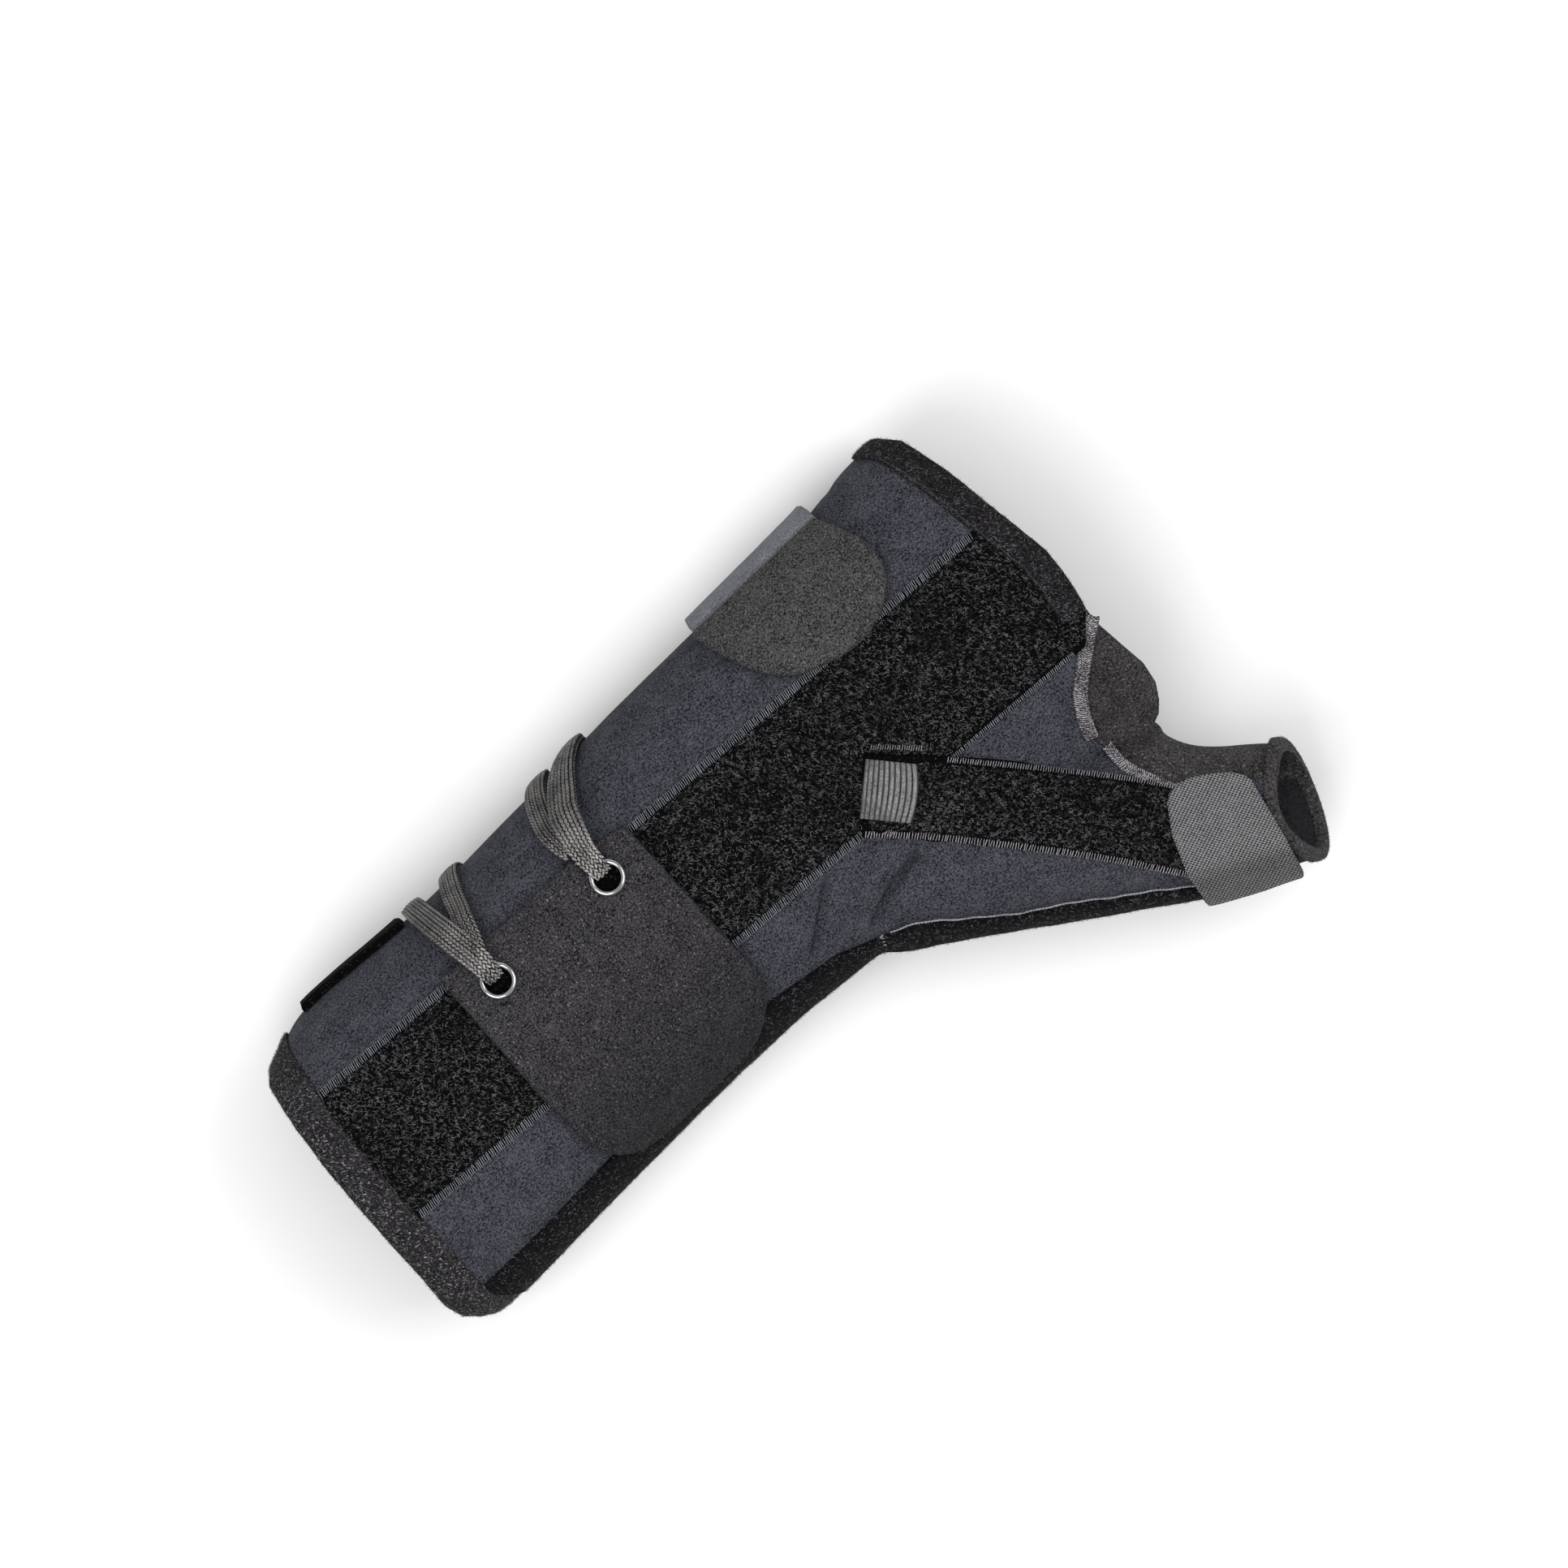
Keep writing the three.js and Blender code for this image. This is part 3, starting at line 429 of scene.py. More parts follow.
def clip(data, tris, f):
    """Keep where f < 0, cutting the triangles that cross along f = 0."""
    side = f < 0
    count = side[tris].sum(1)
    keep = tris[count == 3]
    cut, extra, total = {}, [], len(f)
    added = []

    def at(i, j):
        nonlocal total
        key = (i, j) if i < j else (j, i)
        if key not in cut:
            k = f[key[0]] / (f[key[0]] - f[key[1]])
            k = min(max(k, 0.02), 0.98)
            added.append(data[key[0]] * (1 - k) + data[key[1]] * k)
            cut[key] = total
            total += 1
        return cut[key]

    for tri in tris[(count > 0) & (count < 3)]:
        a, b, c = (int(v) for v in tri)
        while not (side[a] and not side[c]):
            a, b, c = b, c, a
        if side[b]:
            u, v = at(b, c), at(a, c)
            extra += [(a, b, u), (a, u, v)]
        else:
            extra.append((a, at(a, b), at(a, c)))
    out = np.vstack([data, np.array(added)]) if added else data
    faces = np.vstack([keep, np.array(extra, int)]) if extra else keep
    used, back = np.unique(faces, return_inverse=True)
    return out[used], back.reshape(-1, 3)


def cut_by(base, *fields, at=0.0):
    p, n, t = base
    data = np.hstack([p, n])
    for field in fields:
        data, t = clip(data, t, field(data[:, :3] + data[:, 3:] * at))
    return data[:, :3], data[:, 3:], t


def region(base, *fields, at=0.0):
    """The part of a base where every field is below 0, measured at a height over it."""
    p, n, t = cut_by(base, *fields, at=at)
    return p, unit(n), t


def biggest(p, n, t):
    """The largest connected sheet of a region."""
    label = np.arange(len(p))
    while True:
        low = label[t].min(1)
        new = label.copy()
        for k in range(3):
            np.minimum.at(new, t[:, k], low)
        new = new[new]
        if (new == label).all():
            break
        label = new
    ids, size = np.unique(label, return_counts=True)
    keep = label[t[:, 0]] == ids[size.argmax()]
    used, back = np.unique(t[keep], return_inverse=True)
    return p[used], n[used], back.reshape(-1, 3)


def rim_walls(t, k):
    """Faces that join a sheet's open edge to its copy k points further on."""
    edges = np.vstack([t[:, [0, 1]], t[:, [1, 2]], t[:, [2, 0]]])
    _, first, count = np.unique(np.sort(edges, axis=1), axis=0, return_index=True, return_counts=True)
    rim = edges[first[count == 1]]
    return np.vstack([np.stack([rim[:, 0], rim[:, 0] + k, rim[:, 1] + k], -1),
                      np.stack([rim[:, 0], rim[:, 1] + k, rim[:, 1]], -1)])


def slab(p, n, t, low, high):
    """A closed slab between two heights over a sheet."""
    low = np.broadcast_to(np.asarray(low, float), (len(p),))
    high = np.broadcast_to(np.asarray(high, float), (len(p),))
    top, under = p + n * high[:, None], p + n * low[:, None]
    return np.vstack([top, under]), np.vstack([t, t[:, ::-1] + len(p), rim_walls(t, len(p))])


def eased(distance, low, high, radius):
    """Height that rounds down at an edge."""
    k = np.clip(distance / radius, 0, 1)
    return low + (high - low) * (0.35 + 0.65 * np.sqrt(1 - (1 - k) ** 2))


def join(parts):
    points, faces, ids, total = [], [], [], 0
    for i, (p, f) in enumerate(parts):
        points.append(p)
        faces.append(f + total)
        ids.append(np.full(len(f), i))
        total += len(p)
    return np.vstack(points), np.vstack(faces), np.concatenate(ids)


def piece(name, parts, materials, node, sharp=38, under=0):
    """One visible piece, each part in its own material; under is how many faces of the first slab's
    underside, which follow as many of its top, take the second material."""
    p, f, ids = join(parts)
    ids[under:2 * under] = 1
    mesh = new_mesh(name, p, f)
    for m in materials:
        mesh.materials.append(m)
    which = np.minimum(ids, len(materials) - 1)
    mesh.polygons.foreach_set("material_index", which.astype(np.int32))
    mesh.polygons.foreach_set("use_smooth", np.ones(len(f), bool))
    mesh.set_sharp_from_angle(angle=math.radians(sharp))
    mesh.update()
    ob = linked(name, mesh)
    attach(ob, "root")
    if node:
        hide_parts(node)
    return ob


# Materials
def lin(*tone):
    """A screen tone, 0 to 255, as linear colour."""
    return tuple(v / 255 / 12.92 if v / 255 <= 0.04045 else ((v / 255 + 0.055) / 1.055) ** 2.4 for v in tone)


class Nodes:
    """A cloth material on a millimetre grid that is fixed to the object."""

    def __init__(self, name, turn=0.0):
        self.mat = bpy.data.materials.new(name)
        self.mat.use_nodes = True
        self.tree = self.mat.node_tree
        self.tree.nodes.clear()
        out = self.tree.nodes.new("ShaderNodeOutputMaterial")
        self.bsdf = self.tree.nodes.new("ShaderNodeBsdfPrincipled")
        self.link(self.bsdf.outputs[0], out.inputs[0])
        coord = self.tree.nodes.new("ShaderNodeTexCoord")
        grid = self.tree.nodes.new("ShaderNodeMapping")
        grid.inputs["Scale"].default_value = (1000, 1000, 1000)
        grid.inputs["Rotation"].default_value = (0, 0, turn)
        self.link(coord.outputs["Object"], grid.inputs["Vector"])
        self.grid = grid.outputs[0]

    def link(self, a, b):
        self.tree.links.new(a, b)

    def feed(self, socket, value):
        if hasattr(value, "is_output"):
            self.link(value, socket)
        else:
            socket.default_value = value

    def stretched(self, scale):
        node = self.tree.nodes.new("ShaderNodeMapping")
        node.inputs["Scale"].default_value = scale
        self.link(self.grid, node.inputs["Vector"])
        return node.outputs[0]

    def noise(self, size, detail=2.0, rough=0.6, scale=None):
        node = self.tree.nodes.new("ShaderNodeTexNoise")
        node.inputs["Scale"].default_value = 1.0 / size
        node.inputs["Detail"].default_value = detail
        node.inputs["Roughness"].default_value = rough
        self.link(self.stretched(scale) if scale else self.grid, node.inputs["Vector"])
        return node.outputs["Fac"]

    def math(self, op, a, b=0.0):
        node = self.tree.nodes.new("ShaderNodeMath")
        node.operation = op
        self.feed(node.inputs[0], a)
        self.feed(node.inputs[1], b)
        return node.outputs[0]

    def axis(self, index):
        node = self.tree.nodes.new("ShaderNodeSeparateXYZ")
        self.link(self.grid, node.inputs[0])
        return node.outputs[index]

    def weave(self, pitch_u, pitch_v, slant=0.0):
        """Raised dots of a woven or knitted face, from -1 to 1."""
        u, v = self.axis(0), self.axis(1)
        if slant:
            u = self.math("ADD", u, self.math("MULTIPLY", v, slant))
        su = self.math("SINE", self.math("MULTIPLY", u, 2 * math.pi / pitch_u))
        sv = self.math("SINE", self.math("MULTIPLY", v, 2 * math.pi / pitch_v))
        return self.math("MULTIPLY", su, sv)

    def mix(self, a, b, fac):
        node = self.tree.nodes.new("ShaderNodeMix")
        node.data_type = "RGBA"
        self.link(fac, node.inputs["Factor"])
        for key, v in (("A", a), ("B", b)):
            self.feed(node.inputs[key], v if hasattr(v, "is_output") else (*v, 1))
        return node.outputs["Result"]

    def span(self, value, low, high):
        node = self.tree.nodes.new("ShaderNodeMapRange")
        node.inputs["From Min"].default_value = low
        node.inputs["From Max"].default_value = high
        self.link(value, node.inputs["Value"])
        return node.outputs["Result"]


def cloth(name, dark, light, grain, spread=0.16, mottle=0.3, rough=0.9, sheen=0.0, bump=0.4, bump_size=0.4,
          flecks=None, weave=None, turn=0.0, specular=0.25, painted_shade=None):
    """One cloth: dark and light are its tones, and sizes are in millimetres.

    flecks are (size, threshold, tint), weave is (pitch, pitch, slant, share in colour, share in height),
    and painted_shade is (start, end, least) along the grid's second axis, painted shade that darkens the colour
    towards near-black, from the least light to the full."""
    n = Nodes(name, turn)
    n.bsdf.inputs["Roughness"].default_value = rough
    n.bsdf.inputs["Specular IOR Level"].default_value = specular
    if sheen:
        n.bsdf.inputs["Sheen Weight"].default_value = sheen
        n.bsdf.inputs["Sheen Roughness"].default_value = 0.45
    fine = n.noise(grain, 2.0, 0.65)
    broad = n.noise(grain * 12, 2.0, 0.5)
    value = n.math("ADD", fine, n.math("MULTIPLY", n.math("SUBTRACT", broad, 0.5), mottle))
    height = n.noise(bump_size, 2.0, 0.65)
    if weave:
        pitch_u, pitch_v, slant, colour_part, bump_part = weave
        dots = n.weave(pitch_u, pitch_v, slant)
        value = n.math("ADD", value, n.math("MULTIPLY", dots, colour_part))
        height = n.math("ADD", height, n.math("MULTIPLY", dots, bump_part))
    colour = n.mix(lin(*dark), lin(*light), n.span(value, 0.5 - spread, 0.5 + spread))
    if flecks:
        size, edge, tint = flecks
        spots = n.noise(size, 1.0, 0.5, scale=(1.0, 0.45, 1.0))
        colour = n.mix(colour, lin(*tint), n.span(spots, edge, edge + 0.09))
    # Painted shade: the colour is mixed towards near-black along the grid's second axis.
    if painted_shade:
        start, end, least = painted_shade
        lit = n.math("ADD", n.math("MULTIPLY", n.span(n.axis(1), start, end), 1.0 - least), least)
        colour = n.mix(lin(16, 16, 17), colour, lit)
    n.link(colour, n.bsdf.inputs["Base Color"])
    node = n.tree.nodes.new("ShaderNodeBump")
    node.inputs["Strength"].default_value = bump
    node.inputs["Distance"].default_value = 0.0004
    n.link(height, node.inputs["Height"])
    n.link(node.outputs[0], n.bsdf.inputs["Normal"])
    return n.mat


ROLL = math.radians(43.5)
LOOPS = dict(rough=1.0, bump=0.9, bump_size=0.6, turn=-ROLL)
NAVY = cloth("navy_laminate", (16, 11, 23), (78, 81, 87), 0.44, 0.15, 0.16, bump=0.5, bump_size=0.45,
             specular=0.12)
LINING = cloth("dark_lining", (22, 22, 25), (48, 48, 52), 0.7, 0.2, bump=0.5)
PILE = cloth("loop_pile", (2, 2, 2), (10, 10, 11), 0.5, 0.2, 0.15, flecks=(0.31, 0.655, (56, 54, 58)),
             specular=0.06, **LOOPS)
EDGE_PILE = cloth("edge_pile", (3, 3, 4), (24, 23, 25), 0.5, 0.2, 0.15, flecks=(0.38, 0.64, (57, 56, 59)),
                  specular=0.06, **LOOPS)
FLEECE = cloth("fleece_binding", (7, 7, 8), (52, 50, 52), 0.5, 0.18, 0.15, flecks=(0.4, 0.61, (128, 124, 128)),
               specular=0.08, **LOOPS)
EDGE_FLEECE = cloth("edge_fleece", (3, 3, 4), (42, 40, 42), 0.5, 0.18, 0.15, flecks=(0.4, 0.63, (84, 82, 84)),
                    specular=0.08, **LOOPS)
# The pull tab's laminate carries painted shade: darker towards one end along the grid.
CHARCOAL = cloth("charcoal_laminate", (6, 5, 7), (70, 68, 71), 0.42, 0.13, 0.14, bump=0.6, bump_size=0.45,
                 flecks=(0.34, 0.65, (116, 111, 115)), specular=0.12, painted_shade=(-12.0, 24.0, 0.5))
TAB_FACE = cloth("charcoal_tab", (15, 15, 15), (85, 84, 84), 0.42, 0.13, 0.14, bump=0.6, bump_size=0.45,
                 flecks=(0.34, 0.66, (119, 116, 119)), specular=0.12)
# The webbing carries painted shade on the strap's lower part, where it bends down.
WEBBING = cloth("grey_webbing", (61, 61, 62), (176, 176, 179), 0.5, 0.26, 0.2, bump=0.9, bump_size=0.4,
                weave=(1.0, 0.8, 0.35, 0.55, 1.5), turn=math.radians(27.7),
                painted_shade=(-12.2, -8.6, 0.57))
BAND = cloth("band_elastic", (72, 74, 78), (134, 136, 143), 0.5, 0.25, 0.2, bump=0.7, bump_size=0.4,
             weave=(1.3, 0.6, 0.0, 0.16, 0.6))
RIBBED = cloth("ribbed_elastic", (74, 74, 74), (150, 151, 150), 0.45, 0.2, 0.5, bump=0.5,
               weave=(0.55, 0.42, 0.0, 0.12, 0.4), turn=math.radians(49))
# Painted shade: a darker tone for the recessed grooves between the elastic's ribs.
GROOVE_SHADE = cloth("ribbed_groove_shade", (35, 35, 35), (82, 82, 82), 0.45, 0.22, bump=0.3)
# The lace carries painted light: a painted highlight near the eyelets and painted shade darkening it away from them.
BRAID = cloth("braided_lace", (52, 51, 50), (192, 188, 186), 0.4, 0.2, 0.6, rough=0.5, bump=0.6, bump_size=0.3,
              specular=0.5, painted_shade=(57.0, 45.0, 0.33))
# Painted shade: a near-black core that shows as dark gaps between the lace's stitches.
BRAID_SHADE_CORE = cloth("lace_core_shade", (10, 10, 10), (31, 31, 31), 0.4, 0.2, bump=0.4)
# The stretch fabric carries painted shade: darker towards one end along the grid.
STRETCH = cloth("stretch_fabric", (15, 14, 15), (79, 76, 77), 0.46, 0.15, 0.2, bump=0.6, bump_size=0.5,
                flecks=(0.42, 0.63, (110, 106, 108)), turn=-ROLL, specular=0.12, painted_shade=(-70.0, -82.0, 0.7))
THREAD = cloth("seam_thread", (93, 92, 95), (178, 175, 180), 0.3, 0.16, bump=0.3, bump_size=0.3)
THREAD_GREY = cloth("edge_thread", (78, 83, 88), (153, 158, 164), 0.3, 0.18, bump=0.3, bump_size=0.3)
SEAM_THREAD = cloth("flat_seam_thread", (24, 23, 25), (186, 181, 187), 0.42, 0.13, bump=0.3, bump_size=0.3)
FIBRE = cloth("pile_fibre", (30, 29, 30), (103, 101, 104), 1.4, 0.12, bump=0.1, rough=0.8)
FUZZ = cloth("pile_fuzz", (11, 10, 12), (49, 47, 50), 1.6, 0.15, bump=0.1)
SEAM = cloth("flat_seam", (33, 32, 33), (82, 79, 82), 0.36, 0.2, 0.3, bump=0.6, bump_size=0.35)
CHROME = cloth("eyelet_chrome", (196, 197, 200), (224, 225, 228), 2.0, 0.2, rough=0.14, bump=0.03, bump_size=1.5,
               specular=0.5)
CHROME.node_tree.nodes["Principled BSDF"].inputs["Metallic"].default_value = 1.0


# Fields in plan
PALM = lambda p: WIDEST_Z - p[:, 2]
SLIT = lambda p: np.where(p[:, 2] < 12, np.minimum(4.0 - np.abs(p[:, 1] - 12.0), 4.0), -1.0)


def allowed(less_forearm, less_finger):
    """The splint's outline in plan, drawn in at the forearm and the finger edge."""
    return np.vstack([
        FOREARM_RIM + [less_forearm, 0],
        [[20, -300], [500, -300], [500, -60.1]],
        [thumb_plan(THUMB_LENGTH + 60, 40)],
        [[203.9, -47.6]],
        WEB_RIM[::-1],
        (FINGER_RIM - [less_finger, 0])[::-1],
        [[198, 300], [6, 300]]])


def trimmed(base, less):
    poly = allowed(less, less)
    return region(base, lambda p: poly_sdf(p, poly), lambda p: opening_side(p, less))


# Sleeve
def sleeve():
    p, n, t = biggest(*cut_by(trimmed(COARSE, 1.6), lambda q: 0.1 - poly_sdf(q, WEB_POLY), SLIT))
    thin = np.clip(1 + opening_side(p, 0.0) / 14.0, 0, 1) * ((p[:, :2] - ROOT) @ WAY > 60)
    piece("splint_sleeve", [slab(p, n, t, -3.0 + 1.1 * thin, 0.0)], [NAVY, LINING], "sleeve_body",
          under=len(t))


def web():
    p, n, t = biggest(*cut_by(trimmed(FINE, 0.0), lambda q: poly_sdf(q, WEB_POLY)))
    edge = np.minimum(-poly_sdf(p, allowed(0, 0)), 3)
    high = eased(edge, -2.2, -0.55, 0.9)
    piece("web_fabric", [slab(p, n, t, -2.3, high)], [STRETCH], "web_panel")


# Sections of a folded edge: how far from the rim, how high over the laminate
FLAP_WIDTH = 9.2
FLAP = [(9.2, 0.2), (9.3, 0.45), (9.0, 0.75), (8.2, 0.92), (6.6, 1.0), (5.0, 1.04), (3.4, 1.0), (1.9, 0.8),
        (0.8, 0.35), (0.2, -0.3), (0.0, -1.1), (0.0, -2.2), (0.3, -3.4), (1.1, -4.3), (2.4, -4.7), (5.0, -4.75),
        (8.2, -4.6), (9.0, -4.2), (9.1, -3.45), (6.0, -3.35), (2.4, -3.35), (1.9, -2.6), (1.8, -1.7),
        (1.9, -0.7), (2.4, 0.1), (6.0, 0.18)]
THUMB_FLAP = [(9.2, 0.1), (9.2, 0.3), (8.4, 0.5), (6.4, 0.58), (4.0, 0.58), (2.0, 0.45), (0.7, 0.15),
              (0.1, -0.35), (0.1, -0.9), (0.5, -1.5), (1.4, -2.0), (3.2, -2.3), (6.0, -2.4), (9.0, -2.4),
              (9.1, -2.2), (5.0, -2.1), (4.0, -1.8), (3.2, -1.4), (3.0, -0.7), (3.6, -0.1), (5.0, 0.08)]


def wobble(path, amount, size, seed):
    """Rows of points moved in and out a little."""
    flat = path.reshape(-1, 3)
    c = path.mean(1, keepdims=True)
    out = path - c
    out /= np.maximum(np.linalg.norm(out, axis=2, keepdims=True), 1e-6)
    w = waves(flat, size, seed).reshape(path.shape[:2])
    return path + out * (w * amount)[..., None]


def binding_rows(rim, sign, width, angles, guess):
    rows = []
    k = width / FLAP_WIDTH
    for a in angles:
        x = guess
        for _ in range(4):
            x = rim_x(rim, sleeve_point(x, a, 0.0)[1])
        rows.append([sleeve_point(x + sign * dx * k, a, off) for dx, off in FLAP])
    return np.array(rows)


def angle_at(x, y, angles):
    """The one of some angles where a section is at a given y."""
    q = sleeve_point(np.full_like(angles, x), angles, 0.0)
    return angles[np.abs(q[:, 1] - y).argmin()]


def back_angle(x, y):
    return angle_at(x, y, np.linspace(-math.pi, 0, 4001))


ALONG_EDGE = (0.5, -0.8, 0.2)


def bindings():
    start = back_angle(0.0, 16.2)
    end = back_angle(0.0, 7.8) + 2 * math.pi
    rows = binding_rows(FOREARM_RIM, 1, 9.2, np.linspace(start, end, 420), 0.0)
    forearm = closed_loft(wobble(rows, 0.16, 6.0, 21))
    line = np.array([(rim_x(FOREARM_RIM, y) + 8.0, y) for y in np.linspace(31, -35, 90)])
    piece("forearm_binding", [forearm, fibres_on(forearm, 9000, 1.2, 0.13, 0.3, 51, lie=ALONG_EDGE),
                              fuzz_on(forearm, 2600, 0.8, 0.09, 61), twist(line, 1.0, 0.16)],
          [FLEECE, FIBRE, FUZZ, SEAM], "proximal_binding", sharp=60)
    start = back_angle(205.0, 16.2)
    end = angle_at(208.0, -16.5, np.linspace(math.pi / 2, math.pi, 2001))
    rows = binding_rows(FINGER_RIM, -1, 7.4, np.linspace(start, end, 330), 208.0)
    finger = closed_loft(wobble(rows, 0.14, 5.0, 22)[:, ::-1])
    line = np.array([(rim_x(FINGER_RIM, y) - 6.4, y) for y in np.linspace(40, -13, 80)])
    piece("finger_binding", [finger, fibres_on(finger, 3600, 1.1, 0.12, 0.3, 52, lie=ALONG_EDGE),
                             fuzz_on(finger, 1800, 0.8, 0.09, 62), twist(line, 1.02, 0.16)],
          [EDGE_FLEECE, FIBRE, FUZZ, SEAM], "distal_binding", sharp=60)
    angles = np.linspace(back_angle(205.0, -16.4), back_angle(205.0, 7.8), 60)
    rows = binding_rows(FINGER_RIM, -1, 7.4, angles, 208.0)
    piece("finger_binding_back", [closed_loft(rows[:, ::-1])], [EDGE_FLEECE], "distal_binding_back",
          sharp=60)
    rows = []
    for a in around(240):
        s = THUMB_LENGTH
        for _ in range(6):
            s -= opening_side(thumb_point(s, a, 0.0)[None], 0.0)[0]
        rows.append([thumb_point(s - dx * 3.2 / FLAP_WIDTH, a, off) for dx, off in THUMB_FLAP])
    rows = np.array(rows)
    p = wobble(rows, 0.1, 5.0, 23).reshape(-1, 3)
    ring = (p, tris_of(ring_faces(rows)[:, ::-1]))
    piece("thumb_binding", [ring, fibres_on(ring, 1500, 1.0, 0.11, 0.25, 56), fuzz_on(ring, 900, 0.6, 0.08, 63)],
          [STRETCH, FIBRE, FUZZ], "thumb_rim_binding", sharp=60)


def face_frames(p, t):
    """Normals and sizes of faces."""
    f = crosses(p, t)
    return unit(f, 1e-12), np.linalg.norm(f, axis=1)


def fibres_on(part, count, length, width, lift, seed, pick=None, lie=None, spread=1.0):
    """Short bent fibres lying over a surface."""
    p, t = part
    r = np.random.default_rng(seed)
    n, weight = face_frames(p, t)
    if pick is not None:
        weight *= pick(p[t].mean(1), n)
    weight *= n[:, 2] > -0.4
    chosen = r.choice(len(t), size=count, p=weight / weight.sum())
    u, v = r.random(count), r.random(count)
    flip = u + v > 1
    u[flip], v[flip] = 1 - u[flip], 1 - v[flip]
    a, b, d = (p[t[chosen, k]] for k in range(3))
    at = a + (b - a) * u[:, None] + (d - a) * v[:, None]
    nn = n[chosen]
    way = r.normal(size=(count, 3))
    if lie is not None:
        way = way * spread + np.array(lie)
    way = unit(way - nn * (way * nn).sum(1)[:, None])
    side = np.cross(nn, way)
    ln = length * r.uniform(0.5, 1.4, count)[:, None]
    bend = side * (r.normal(size=count) * 0.25)[:, None] * ln
    w = side * width * r.uniform(0.6, 1.3, count)[:, None] / 2
    up = nn * lift * r.uniform(0.4, 1.4, count)[:, None]
    p0, p1, p2 = at - way * ln / 2 + nn * 0.02, at + bend + up, at + way * ln / 2 + nn * 0.05
    points = np.stack([p0, p1 - w, p1 + w, p2], 1).reshape(-1, 3)
    base = np.arange(count)[:, None] * 4
    faces = np.vstack([base + [0, 1, 2], base + [1, 3, 2]])
    return points, faces


def fuzz_on(part, count, length, width, seed):
    """Single hairs that stand off a surface, for a soft outline."""
    p, t = part
    r = np.random.default_rng(seed)
    n, area = face_frames(p, t)
    chosen = r.choice(len(t), size=count, p=area / area.sum())
    at = (p[t[chosen]] * r.dirichlet((1, 1, 1), count)[:, :, None]).sum(1)
    way = unit(n[chosen] + 0.9 * r.normal(size=(count, 3)))
    facing = (way * n[chosen]).sum(1)
    way[facing < 0.1] = n[chosen][facing < 0.1]
    side = np.cross(way, r.normal(size=(count, 3)))
    side *= width / 2 / np.maximum(np.linalg.norm(side, axis=1), 1e-9)[:, None]
    tip = at + way * length * r.uniform(0.4, 1.2, count)[:, None]
    points = np.stack([at - side, at + side, tip], 1).reshape(-1, 3)
    return points, (np.arange(count)[:, None] * 3 + [0, 1, 2])


def on_palm(xy, height):
    """Points over the palm side at a height along the surface's normal."""
    out, nrm = [], []
    height = np.broadcast_to(np.asarray(height, float), (len(xy),))
    for (x, y), h in zip(xy, height):
        u, v = x, y
        for _ in range(3):
            hit, n, _, _ = TREE.ray_cast(Vector((u, v, 200)), Vector((0, 0, -1)))
            if hit is None:
                hit, n, _, _ = TREE.find_nearest(Vector((u, v, WIDEST_Z)))
            u, v = x - n.x * h, y - n.y * h
        out.append((hit.x + n.x * h, hit.y + n.y * h, hit.z + n.z * h))
        nrm.append((n.x, n.y, n.z))
    out, nrm = np.array(out), np.array(nrm)
    if len(nrm) > 8:
        k = np.array([1, 2, 3, 2, 1]) / 9
        nrm = unit(np.stack([np.convolve(np.pad(c, 2, mode="edge"), k, mode="valid") for c in nrm.T], -1))
    return out, nrm


def thread(line, up, width, high, sides=5):
    """A closed thread of a flat round section along a line of points."""
    t = unit(np.gradient(line, axis=0), 1e-9)
    side = unit(np.cross(t, up), 1e-9)
    lift = np.cross(side, t)
    a = around(sides)
    rings = (line[:, None] + side[:, None] * (np.cos(a) * width / 2)[None, :, None]
             - lift[:, None] * (np.sin(a) * high / 2)[None, :, None])
    return closed_loft(rings)


def stitches(loops):
    """Closed stitches from their cross-sections, one array of them for each step along a stitch."""
    loops = np.stack(loops, 1)
    count, rows, cols = loops.shape[:3]
    last = (rows - 1) * cols
    one = np.vstack([tris_of(grid_faces(rows, cols, True)),
                     [[0, cols - 1 - i, cols - 2 - i] for i in range(cols - 2)],
                     [[last, last + i + 1, last + i + 2] for i in range(cols - 2)]])
    faces = (one[None] + (np.arange(count) * rows * cols)[:, None, None]).reshape(-1, 3)
    return loops.reshape(-1, 3), faces


def strokes(start, end, up, thick, high, arch=0.12):
    """Separate straight stitches from start to end points, each a small rounded thread."""
    side = unit(np.cross(unit(end - start), up))
    a = around(5)
    thick = np.broadcast_to(np.asarray(thick, float), (len(start),))[:, None, None]
    loops = []
    for k, fat in ((0.0, 0.4), (0.12, 0.95), (0.5, 1.0), (0.88, 0.95), (1.0, 0.4)):
        mid = start + (end - start) * k + up * (arch * 4 * k * (1 - k))
        loops.append(mid[:, None] + side[:, None] * (np.cos(a) * fat / 2)[None, :, None] * thick
                     - up[:, None] * (np.sin(a) * fat * high / 2)[None, :, None])
    return stitches(loops)


def across(path, width, pitch, height, thick=0.2, lean=0.3, seed=1, high=0.24, smooth=1):
    """A row of close parallel stitches across a plan path."""
    line = resample(path, pitch, smooth)
    r = np.random.default_rng(seed)
    t, n = line_frame(line)
    half = width / 2 * r.uniform(0.86, 1.1, (len(line), 2))
    jitter = r.normal(size=(len(line), 2)) * pitch * 0.12
    h = height(line) if callable(height) else height
    s0, u0 = on_palm(line - n * half[:, :1] - t * (lean * width / 4 + jitter[:, :1]), h)
    s1, u1 = on_palm(line + n * half[:, 1:] + t * (lean * width / 4 + jitter[:, 1:]), h)
    return strokes(s0, s1, unit(u0 + u1), thick * r.uniform(0.8, 1.15, len(line)), high)


TWIST_STEP, TWIST_PITCH, TWIST_RADIUS = 0.3, 1.5, 0.13


